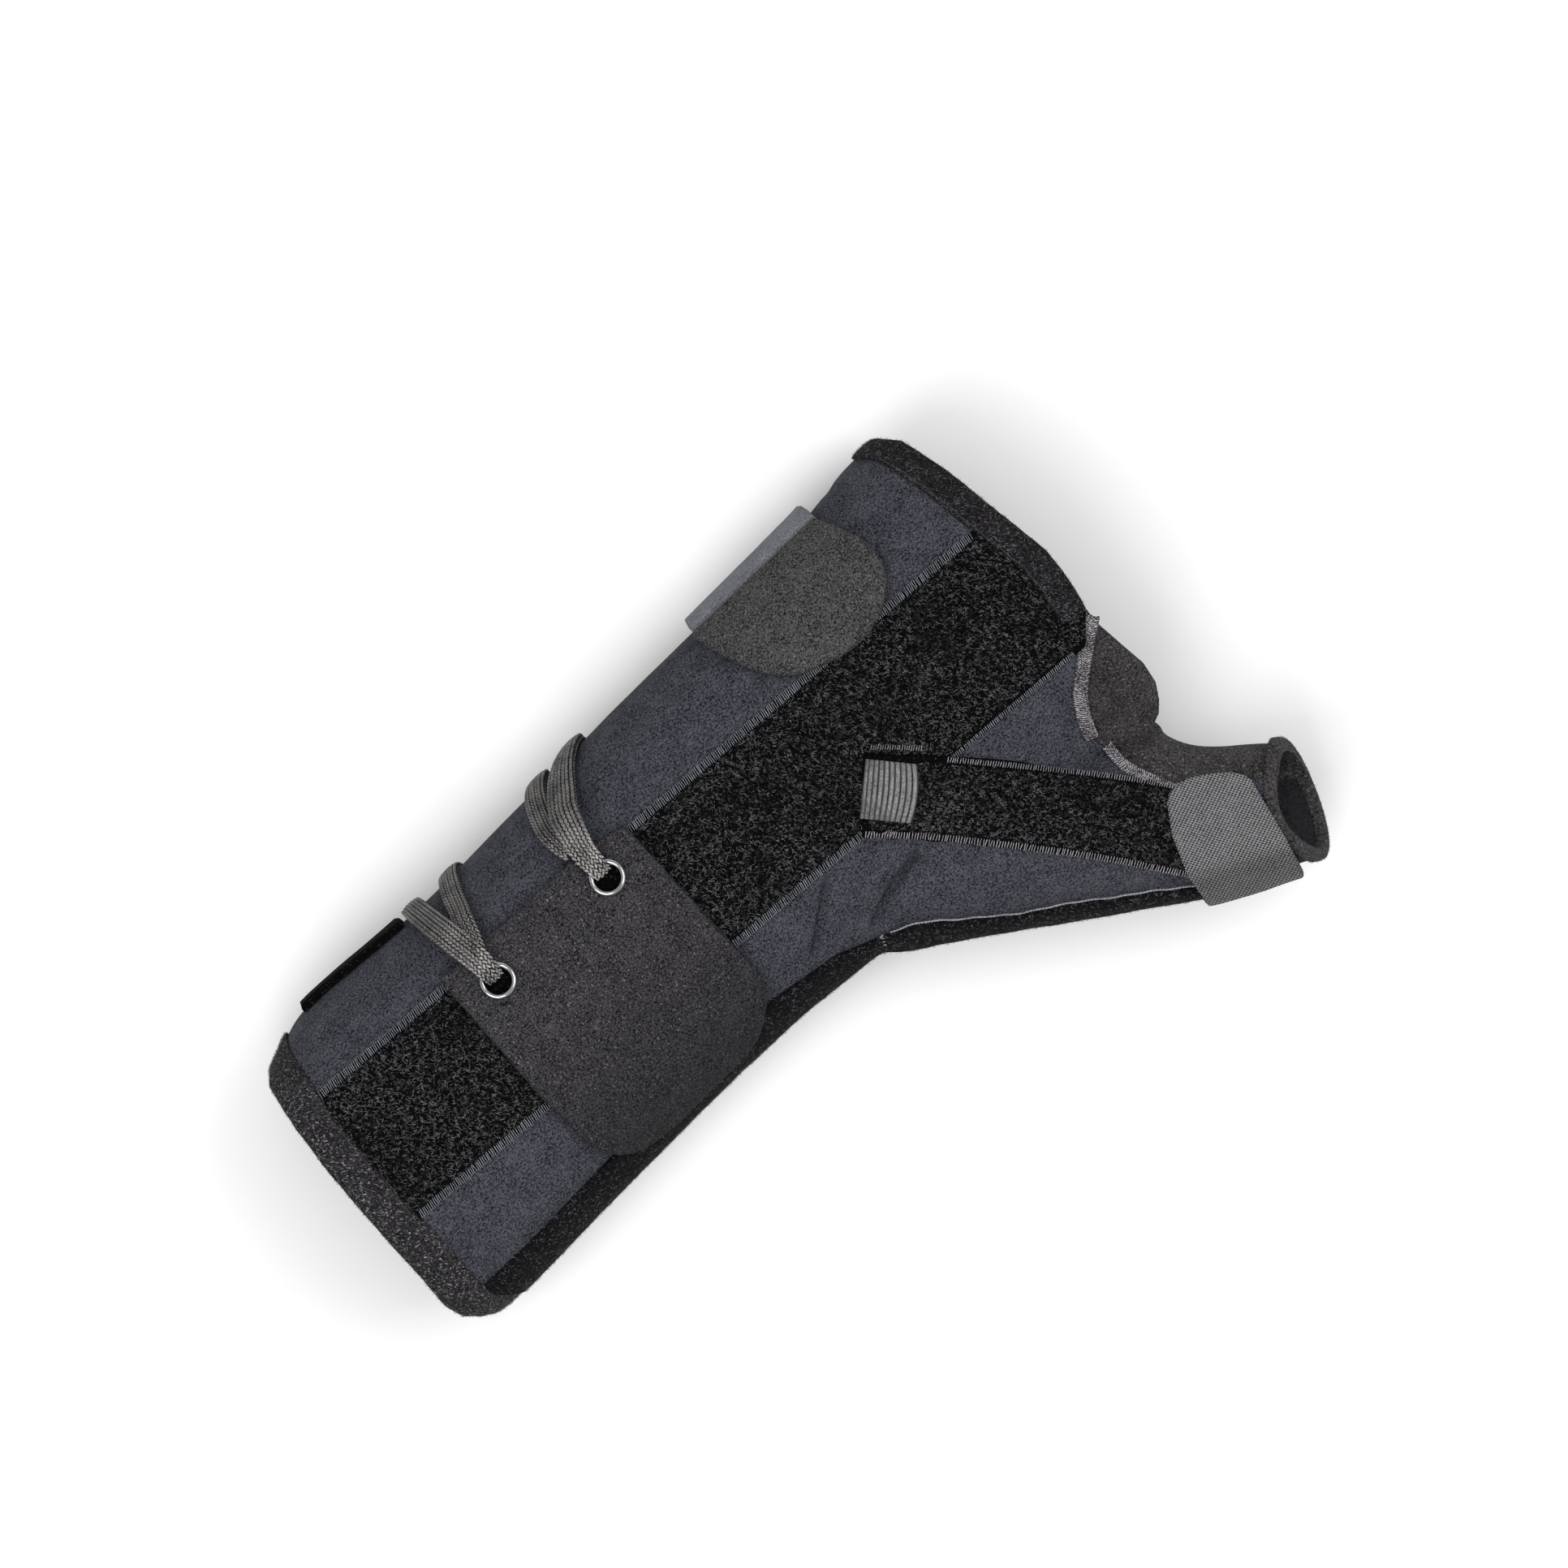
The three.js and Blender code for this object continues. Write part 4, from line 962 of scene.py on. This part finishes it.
def twist(line, height, thick, smooth=1):
    """Two plies of thread laid round each other along a plan path."""
    pts, up = on_palm(resample(line, TWIST_STEP, smooth), height)
    side = np.cross(unit(np.gradient(pts, axis=0)), up)
    far = np.arange(len(pts)) * TWIST_STEP
    wave = 0.12 * np.sin(far * 2 * math.pi / 7.0)
    plies = []
    for k in (0, math.pi):
        turn = far * 2 * math.pi / TWIST_PITCH + k
        move = (side * (TWIST_RADIUS * np.cos(turn) + wave)[:, None]
                + up * (TWIST_RADIUS * np.sin(turn))[:, None])
        plies.append(thread(pts + move, up, thick, thick))
    p, f, _ = join(plies)
    return p, f


# Loop strips
def strip_mid(x):
    return 5.9 - 0.05 * x


def strip_top(x):
    return strip_mid(x) + STRIP_HALF


def strip_low(x):
    return strip_mid(x) - STRIP_HALF


STRIP_POLY = np.array([[-8, strip_low(-8)], [240, strip_low(240)], [240, strip_top(240)], [-8, strip_top(-8)]])
FIBRE_SIZE = (0.95, 0.12, 0.3)


def level_row(side, x0, x1, inset, *how, seed):
    """Stitches along one long edge of the palm strip."""
    return across([(x0, side(x0) + inset), (x1, side(x1) + inset)], *how, seed=seed)


def palmar_strip():
    inner = allowed(9.0, 7.2)
    corner = np.array([(200.0, -15.6), (209.2, -15.6), (209.2, -25.0), (200.0, -25.0)])
    inside = lambda p: np.minimum(poly_sdf(p, inner), poly_sdf(p, corner))
    p, n, t = region(FINE, PALM, lambda p: poly_sdf(p, STRIP_POLY), inside,
                     lambda p: 0.3 - poly_sdf(p, WEB_POLY), at=1.4)
    edge = -poly_sdf(p + n * 1.4, STRIP_POLY)
    top = (eased(edge, 0.3, STRIP_HIGH, 1.0) - 0.35 * np.exp(-(((edge - 1.1) / 0.8) ** 2))
           + 0.10 * waves(p, 5.0, 31) + 0.06 * waves(p, 1.6, 32))
    body = slab(p, n, t, STRIP_LOW, top)
    seen = lambda c, nn: ((nn[:, 2] > 0.2) & (poly_sdf(c, STRIP_POLY) < -1.9)
                          & ~((c[:, 0] > 48) & (c[:, 0] < 97) & (c[:, 1] < 21))).astype(float) + 1e-6
    parts = [body,
             fibres_on(body, 18000, *FIBRE_SIZE, 53, seen, lie=(0.55, -0.75, 0), spread=0.75),
             level_row(strip_top, 8, 202, -0.8, 2.1, 0.52, 1.58, seed=2),
             level_row(strip_low, 6, 139, 0.8, 2.0, 0.52, 1.58, seed=3),
             level_row(strip_low, 163, 200.5, 0.7, 1.2, 0.5, 1.48, seed=4)]
    piece("palmar_strip", parts, [PILE, FIBRE, THREAD_GREY], "palmar_loop_strip")


def proud(xy):
    """Height of the thumb strip's face, which climbs onto the palm strip."""
    ramp = np.clip(1 - (poly_sdf(xy, STRIP_POLY) - 0.6) / 2.4, 0, 1)
    return STRIP_HIGH + 1.65 * ramp * ramp * (3 - 2 * ramp)


def thumb_strip():
    p, n, t = region(FINE, PALM, lambda p: poly_sdf(p, THUMB_STRIP_POLY),
                     lambda p: 0.4 - poly_sdf(p, WEB_POLY), at=1.4)
    edge = -poly_sdf(p + n * 1.4, THUMB_STRIP_POLY)
    over = poly_sdf(p + n * 1.4, STRIP_POLY)
    low = STRIP_LOW + 1.75 * np.clip(1 - (over - 0.1) / 1.2, 0, 1)
    high = proud(p + n * 1.4)
    top = low + (high - low) * (eased(edge, 0, 1, 1.0)) - 0.3 * np.exp(-(((edge - 1.1) / 0.8) ** 2))
    top = np.maximum(top + 0.08 * waves(p, 4.5, 33) + 0.05 * waves(p, 1.5, 34), low + 0.25)
    body = slab(p, n, t, low, top)
    inset = (STRIP_MIDDLE - STRIP_UPPER) / THUMB_STRIP_HALF * 0.75
    low_inset = (STRIP_MIDDLE - STRIP_LOWER) / THUMB_STRIP_HALF * 0.75
    parts = [body,
             fibres_on(body, 5400, *FIBRE_SIZE, 54,
                       lambda c, nn: ((nn[:, 2] > 0.2) & (poly_sdf(c, THUMB_STRIP_POLY) < -1.9)) + 1e-6,
                       lie=(0.6, -0.7, 0), spread=0.8),
             across((STRIP_UPPER + inset)[19:], 1.3, 0.58, proud, 0.19, seed=5),
             across((STRIP_LOWER + low_inset)[1:], 1.6, 0.62, proud, 0.22, seed=6)]
    piece("thumb_strip", parts, [PILE, FIBRE, THREAD], "thumb_loop_strip")


def stay():
    """Ten ribs of the elastic, side by side, each a rounded roll with a groove after it; the grooves take a darker
    material as painted shade.
    """
    a, b, c, d = TAB_AT
    rows, cols = 141, 44
    u = np.linspace(0, 1, rows)[:, None, None]
    v = np.linspace(0, 1, cols)[None, :, None]
    bow = (b - a) / np.linalg.norm(b - a) * (0.9 * 4 * v * (1 - v)) * u
    xy = ((a * (1 - u) + b * u) * (1 - v) + (d * (1 - u) + c * u) * v + bow)
    rib = np.abs(np.sin(math.pi * 10.0 * np.linspace(0, 1, rows) ** 0.92))[:, None]
    from_edge = np.minimum(np.minimum(v, 1 - v)[..., 0] * 14.2, np.minimum(u, 1 - u)[..., 0] * 11.8)
    rounding = np.clip(from_edge / 0.45, 0, 1) ** 0.5
    top = 3.3 + rounding * (0.8 + 0.5 * rib ** 0.7)
    flat = np.broadcast_to(xy, (rows, cols, 2)).reshape(-1, 2)
    pts, up = on_palm(flat, np.broadcast_to(top, (rows, cols)).reshape(-1))
    base, _ = on_palm(flat, 3.3)
    q = tris_of(grid_faces(rows, cols))
    if crosses(pts, q[:1])[0, 2] < 0:
        q = q[:, ::-1]
    # The groove faces take the darker groove material, painted shade between the ribs.
    deep = rib[q[:, 0] // cols, 0] < 0.5
    rest = np.vstack([q[~deep], q[:, ::-1] + len(pts), rim_walls(q, len(pts))])
    faces = np.vstack([rest, q[deep]])
    ob = piece("stay_tab_ribbed", [(np.vstack([pts, base]), faces)], [RIBBED, GROOVE_SHADE], "stay_tab",
               sharp=80)
    which = np.zeros(len(ob.data.polygons), np.int32)
    which[len(rest):] = 1
    ob.data.polygons.foreach_set("material_index", which)
    rows_above = [(152.6, -5.6), (155.6, -8.5), (160.6, -13.7)]
    rows_below = [(138.7, -17.3), (141.0, -20.8), (142.8, -23.6)]
    parts = [across(rows_above, 1.2, 0.55, 3.35, 0.17, seed=7),
             across(rows_below, 1.6, 0.46, 1.75, 0.2, seed=8)]
    piece("stay_tab_tacks", parts, [THREAD], None, sharp=80)


def radial_band():
    poly = np.vstack([BAND_EDGE, [[186, -300], [-60, -300]]])
    inner = allowed(9.0, 9.0)
    under = WIDEST_Z - 7
    p, n, t = region(FINE, lambda p: under - p[:, 2], lambda p: poly_sdf(p, poly), lambda p: poly_sdf(p, inner),
                     lambda p: -4.0 - poly_sdf(p, STRAP_POLY), lambda p: p[:, 0] - 189)
    edge = np.minimum(-poly_sdf(p, poly), p[:, 2] - under)
    top = eased(edge, 0.3, STRIP_HIGH, 1.0) + 0.12 * waves(p, 5.0, 41) + 0.06 * waves(p, 1.7, 42)
    body = slab(p, n, t, STRIP_LOW, top)
    line = BAND_EDGE[7:-1] + [0.4, -0.3]
    parts = [body, fibres_on(body, 9000, *FIBRE_SIZE, 55, lambda c, nn: (nn[:, 2] > -0.2) + 1e-6,
                             lie=(0.55, -0.75, 0), spread=0.9),
             twist(line, STRIP_HIGH, 0.22, 2),
             across([(125.0, -37.6), (124.0, -40.4)], 0.7, 0.8, 1.55, 0.16, seed=9)]
    piece("radial_band", parts, [EDGE_PILE, FIBRE, THREAD], "radial_binding")


# Straps
def strap_thumb():
    p, n, t = biggest(*region(FINE, lambda p: poly_sdf(p, STRAP_POLY), at=3.0))
    edge = -poly_sdf(p + n * 3.0, STRAP_POLY)
    body = slab(p, n, t, TAB_LOW, eased(edge, 1.9, TAB_HIGH, 0.7))
    piece("thumb_strap_hook", [body], [WEBBING], "thumb_strap")


def band_field(x0, x1, top):
    """A band from a height on the little-finger side round to the slit on the back."""
    def field(p):
        x, y, z = p[:, 0], p[:, 1], p[:, 2]
        side = np.maximum(np.maximum(x0 - x, x - x1), -25.0 - y)
        return np.maximum(side, np.where(y > 0, z, z + 40.0) - top)
    return field


def back_thick(n, side_high, back_high):
    k = np.clip((-n[:, 2] - 0.55) / 0.4, 0, 1)
    k = k * k * (3 - 2 * k)
    return side_high + (back_high - side_high) * k


def straps():
    field = band_field(141.3, 179.6, 35.2)
    p, n, t = biggest(*region(FINE, field))
    high = np.maximum(eased(np.clip(-field(p), 0, 3), 0.3, TAB_HIGH, 0.8), 1.2)
    past_tab = np.where(p[:, 2] > WIDEST_Z, (p + n * TAB_AT_HEIGHT)[:, 1] - TAB_SEAM, 9.0)
    high = np.minimum(high, 1.7 + 1.7 * np.clip((past_tab - 0.15) / 0.7, 0, 1))
    piece("palm_strap_band", [slab(p, n, t, STRAP_LOW, high)], [BAND], "distal_strap_band")
    field = band_field(17.5, 47.5, 35.0)
    p, n, t = biggest(*region(FINE, field))
    high = eased(np.clip(-field(p), 0, 3), 0.3, back_thick(n, 2.0, TAB_HIGH), 0.8)
    piece("forearm_strap", [slab(p, n, t, STRAP_LOW, high)], [PILE], "proximal_strap")
    p, n, t = region(FINE, PALM, lambda p: poly_sdf(p, TAB_POLY), at=TAB_AT_HEIGHT)
    edge = -poly_sdf(p + n * TAB_AT_HEIGHT, TAB_POLY)
    top = eased(edge, 1.9, TAB_HIGH, 0.8) + 0.05 * waves(p, 7.0, 61)
    piece("palm_strap_tab", [slab(p, n, t, TAB_LOW, top)], [TAB_FACE], "distal_strap_tab")
    piece("lace_patch", [closed_loft(patch_rings())], [PILE], "lace_anchor")


def patch_rings():
    """The lace patch: a plate with rounded corners and edges."""
    x0, x1, y0, y1 = PATCH
    corners = [(x1, y1, 0), (x0, y1, 90), (x0, y0, 180), (x1, y0, 270)]
    r = 1.5
    rings = []
    for z, inset in [(-0.3, 0.5), (-0.55, 0.15), (-0.9, 0.0), (-2.6, 0.0), (-3.1, 0.2), (-3.4, 0.7)]:
        pts = []
        for cx, cy, a0 in corners:
            sx, sy = (1 if cx == x1 else -1), (1 if cy == y1 else -1)
            for k in range(7):
                a = math.radians(a0 + 15 * k)
                pts.append((cx - sx * (r + inset) + r * math.cos(a), cy - sy * (r + inset) + r * math.sin(a), z))
        rings.append(pts)
    return np.array(rings)[::-1]


def tab():
    field = lambda p: poly_sdf(p, PULL_POLY)
    apart = lambda p: [np.hypot(p[:, 0] - x, p[:, 1] - y - EYELET_SHIFT) for x, y in EYELETS]
    holes = lambda p: 3.65 - np.minimum(*apart(p))
    p, n, t = region(FINE, PALM, field, holes, at=TAB_AT_HEIGHT)
    edge = np.minimum(-field(p + n * TAB_AT_HEIGHT), 4)
    top = eased(edge, 1.9, 3.45, 0.8) + 0.07 * waves(p, 9.0, 71)
    for d in apart(p + n * TAB_AT_HEIGHT):
        top -= 0.25 * np.exp(-((d - 4.6) / 1.1) ** 2)
    piece("lace_pull_tab", [slab(p, n, t, TAB_LOW, top)], [CHARCOAL], "pull_tab")


def seat(x, y):
    """A place on the plain section of the sleeve, and its normal."""
    a = np.linspace(0, math.pi / 2, 2001)
    q = sleeve_point(np.full_like(a, x), a, 0.0)
    i = np.abs(q[:, 1] - y).argmin()
    t = q[i + 3] - q[i - 3]
    n = np.array([0, t[2], -t[1]])
    n /= np.linalg.norm(n)
    return q[i], n if n[2] > 0 else -n


def eyelets():
    ring = [(2.98, 1.9), (2.98, 3.5), (3.0, 4.0), (3.1, 4.34), (3.3, 4.62), (3.56, 4.74), (3.84, 4.7),
            (4.08, 4.5), (4.24, 4.22), (4.3, 3.92), (4.3, 3.66), (3.3, 3.56), (3.3, 1.9)]
    named = (("eyelet_proximal", "eyelet_ring_a"), ("eyelet_distal", "eyelet_ring_b"))
    for (x, y), (node, name) in zip(EYELETS, named):
        here, n = seat(x, y)
        u = np.array([1.0, 0, 0])
        v = np.cross(n, u)
        rings = []
        for a in around(72):
            out = u * math.cos(a) + v * math.sin(a)
            rings.append([here + out * r + n * z for r, z in ring])
        rings = np.array(rings)
        piece(name, [(rings.reshape(-1, 3), tris_of(ring_faces(rings)))], [CHROME], node, sharp=50)


# Laces: along, turn in degrees, height, width
THROUGH = [(0.0, 73.9, 2.4, 4.0), (0.0, 73.7, 4.0, 4.4), (0.0, 72.9, 5.3, 5.0), (0.0, 70.8, 5.9, 5.6),
           (-0.1, 66.5, 5.9, 6.0)]
FRONT_A = [(-1.0, 58, 5.5, 6.2), (-1.5, 51, 5.1, 6.2), (-2.0, 44, 3.4, 6.1), (-2.6, 32, 2.1, 5.8),
           (-3.2, 20, 1.7, 5.5), (-3.6, 8, 1.5, 5.2), (-3.7, -4, 1.4, 5.2)]
BEHIND_A = [(0.9, 64, 4.15, 4.2), (1.8, 60, 4.15, 4.6), (2.7, 56, 4.1, 4.8), (3.5, 50, 3.7, 5.0),
            (4.3, 43, 1.9, 5.0), (5.3, 32, 1.15, 5.0), (6.6, 20, 1.1, 5.1), (7.7, 8, 1.1, 5.2), (8.3, -4, 1.1, 5.2)]
FRONT_B = [(1.4, 58, 5.6, 6.9), (2.6, 51, 5.2, 7.5), (4.3, 44, 3.5, 7.6), (7.0, 33, 2.3, 7.3), (10.0, 22, 1.8, 6.6),
           (13.2, 10, 1.5, 5.9), (15.2, -2, 1.4, 5.6)]
BEHIND_B = [(-1.7, 64, 4.15, 4.2), (-2.4, 60, 4.15, 4.8), (-2.7, 56, 4.1, 5.2), (-2.7, 50, 3.7, 5.5),
            (-2.2, 43, 1.9, 5.6), (-1.0, 32, 1.15, 5.6), (0.8, 20, 1.1, 5.6), (2.7, 8, 1.1, 5.6), (4.0, -4, 1.1, 5.5)]
TURNS = [-14, -23, -31, -38, -45, -52, -60, -66]
COLUMNS = 7


def lace_strand(at, rows, spread):
    """Core and stitches of one flat braid, with a crowned face; the core is near-black, painted shade that shows
    between the stitches.
    """
    pts, widths = [], []
    for along, turn, height, width in rows:
        pts.append(sleeve_point(at + along, math.radians(turn), height))
        widths.append(width)
    x = at + rows[-1][0]
    for i, turn in enumerate(TURNS):
        pts.append(sleeve_point(x + spread * (i + 1) / (len(TURNS) + 1), math.radians(turn), 1.2))
        widths.append(widths[-1])
    pts.append(np.array([x + spread, -3.6, -1.25]))
    widths.append(widths[-1])
    line = resample(np.column_stack([pts, widths]), 0.5, 2)
    mid, w = line[:, :3], line[:, 3]
    t = unit(np.gradient(mid, axis=0))
    wide = unit(np.array([1.0, 0, 0]) - t * t[:, :1])
    up = np.cross(t, wide)
    a = around(14)
    rings = (mid[:, None] + wide[:, None] * (np.cos(a)[None] * (w / 2 - 0.1)[:, None])[..., None]
             - up[:, None] * (np.sin(a)[None] * 0.62)[..., None])
    core = closed_loft(rings[:, ::-1])
    far = np.concatenate([[0], np.cumsum(np.linalg.norm(np.diff(mid, axis=0), axis=1))])
    pitch = 1.15
    at_u = np.arange(pitch, far[-1] - pitch, pitch)
    face = []
    for side in (1, -1):
        for c in range(COLUMNS):
            k = (c + 0.5) / COLUMNS - 0.5
            rise = 0.62 * math.sqrt(max(0.0, 1 - (2 * k) ** 2)) * side
            here = at_u + (pitch / 2 if c % 2 else 0)
            here = here[here < far[-1] - pitch]
            m = np.stack([np.interp(here, far, mid[:, i]) for i in range(3)], -1)
            ww = np.interp(here, far, w)
            tt, wd, uu = (np.stack([np.interp(here, far, q[:, i]) for i in range(3)], -1) for q in (t, wide, up))
            centre = m + wd * (k * ww)[:, None] - uu * rise
            slant = 0.42 * (1 if c % 2 else -1)
            way = unit(tt + wd * slant)
            over = unit(np.cross(way, uu))
            half, fat = 0.74, (ww / COLUMNS * 0.41)[:, None]
            ring_a = around(6)
            loops = []
            for s_, r_ in ((-1.0, 0.25), (-0.55, 0.85), (0.0, 1.0), (0.55, 0.85), (1.0, 0.25)):
                lift = -side * 0.27 * (1 - s_ * s_)
                mid_s = centre + way * (half * s_) + uu * lift
                loops.append(mid_s[:, None] + over[:, None] * (np.cos(ring_a)[None] * fat * r_)[..., None]
                             - uu[:, None] * (np.sin(ring_a)[None] * 0.26 * r_)[..., None])
            face.append(stitches(loops))
    p, f, _ = join(face)
    return core, (p, f)


def laces():
    for name, node, at, front, behind, s_front, s_behind in (
            ("lace_near", "proximal_lace", 55.0, FRONT_A, BEHIND_A, 2, 4),
            ("lace_far", "distal_lace", 88.9, FRONT_B, BEHIND_B, -2, -3)):
        core_a, face_a = lace_strand(at, THROUGH + front, s_front)
        core_b, face_b = lace_strand(at, behind, s_behind)
        core = join([core_a, core_b])
        face = join([face_a, face_b])
        piece(name, [core[:2], face[:2]], [BRAID_SHADE_CORE, BRAID], node, sharp=80)


def seams():
    """Flat seams round the web, and the thread lines of the sleeve."""
    def flat(path, width, height):
        line = resample(path, 0.8, 2)
        _, n = line_frame(line)
        cols = np.array([-1, -0.8, -0.4, 0, 0.4, 0.8, 1.0])
        crown = np.array([0.0, 0.5, 0.62, 0.66, 0.62, 0.5, 0.0])
        grid = [on_palm(line + n * (c * width / 2), height + h)[0] for c, h in zip(cols, crown)]
        rows = np.stack(grid, 1)
        low = np.stack([on_palm(line + n * (c * width / 2), height - 0.5)[0] for c in cols[::-1][1:-1]], 1)
        ring = np.concatenate([rows, low], 1)
        return closed_loft(ring)

    first = np.array([(209.6, -18.6), (206.1, -21.2), (199.5, -26.1), (195.3, -29.6), (192.3, -34.1), (190.6, -38.8)])
    second = np.array([(191.9, -42.6), (191.5, -46.2), (191.8, -49.6), (193.6, -54.3), (196.3, -60.7)])
    bodies, threads = [], []
    for i, (path, width) in enumerate(((first, 3.5), (second, 2.7))):
        bodies.append(flat(path, width, 0.0))
        for row in (-0.3, 0.0, 0.3):
            line = resample(path, 0.8, 2)
            _, n = line_frame(line)
            threads.append(across(line + n * row * width, width * 0.34, 0.5, 0.72, 0.3, 0.9 * (-1) ** int(row > 0),
                                  seed=20 + i * 3 + int(row * 3), high=0.3, smooth=0))
    b, th = join(bodies), join(threads)
    piece("web_seam", [b[:2], th[:2]], [SEAM, SEAM_THREAD], None)


sleeve()
web()
bindings()
palmar_strip()
thumb_strip()
stay()
radial_band()
strap_thumb()
straps()
tab()
eyelets()
laces()
seams()


# Floor, light and camera
def stage():
    mesh = bpy.data.meshes.new("floor")
    r = 3.0
    mesh.from_pydata([(-r, -r, 0), (r, -r, 0), (r, r, 0), (-r, r, 0)], [], [(0, 1, 2, 3)])
    mat = bpy.data.materials.new("floor_pale")
    mat.use_nodes = True
    bsdf = mat.node_tree.nodes["Principled BSDF"]
    bsdf.inputs["Base Color"].default_value = (0.95, 0.95, 0.95, 1)
    bsdf.inputs["Roughness"].default_value = 0.9
    mesh.materials.append(mat)
    floor = linked("floor", mesh)


def area(name, at, to, size, power):
    data = bpy.data.lights.new(name, "AREA")
    data.shape = "DISK"
    data.size = size
    data.energy = power
    ob = linked(name, data)
    ob.location = at
    ob.rotation_euler = (Vector(to) - Vector(at)).to_track_quat("-Z", "Y").to_euler()
    return ob


RIGHT = Vector((math.cos(ROLL), -math.sin(ROLL), 0))
UP = Vector((math.sin(ROLL), math.cos(ROLL), 0))


def studio():
    world = bpy.data.worlds.new("studio")
    world.use_nodes = True
    world.node_tree.nodes["Background"].inputs[0].default_value = (1, 1, 1, 1)
    world.node_tree.nodes["Background"].inputs[1].default_value = 0.35
    bpy.context.scene.world = world
    middle = Vector((0, 0, 0.03))
    area("key", tuple(middle - RIGHT * 0.5 - UP * 0.7 + Vector((0, 0, 1.4))), middle, 1.2, 15)
    area("fill", tuple(middle + RIGHT * 0.9 + UP * 0.4 + Vector((0, 0, 1.3))), middle, 1.4, 10.5)
    top = area("top", tuple(middle - RIGHT * 0.1 + UP * 0.3 + Vector((0, 0, 1.9))), middle, 1.7, 13)
    top.visible_glossy = False


def camera():
    data = bpy.data.cameras.new("camera")
    far = 2.6
    centre = Vector(((132.5 + SHIFT[0]) / 1000, (1.9 + SHIFT[1]) / 1000, 0.035))
    data.sensor_width = 36
    data.lens = 36 * far / 0.3578
    data.clip_end = 20
    ob = linked("camera", data)
    ob.location = centre + Vector((0, 0, far))
    ob.rotation_euler = (0, 0, -ROLL)
    bpy.context.scene.camera = ob


stage()
studio()
camera()
bpy.context.scene.view_settings.view_transform = "Standard"
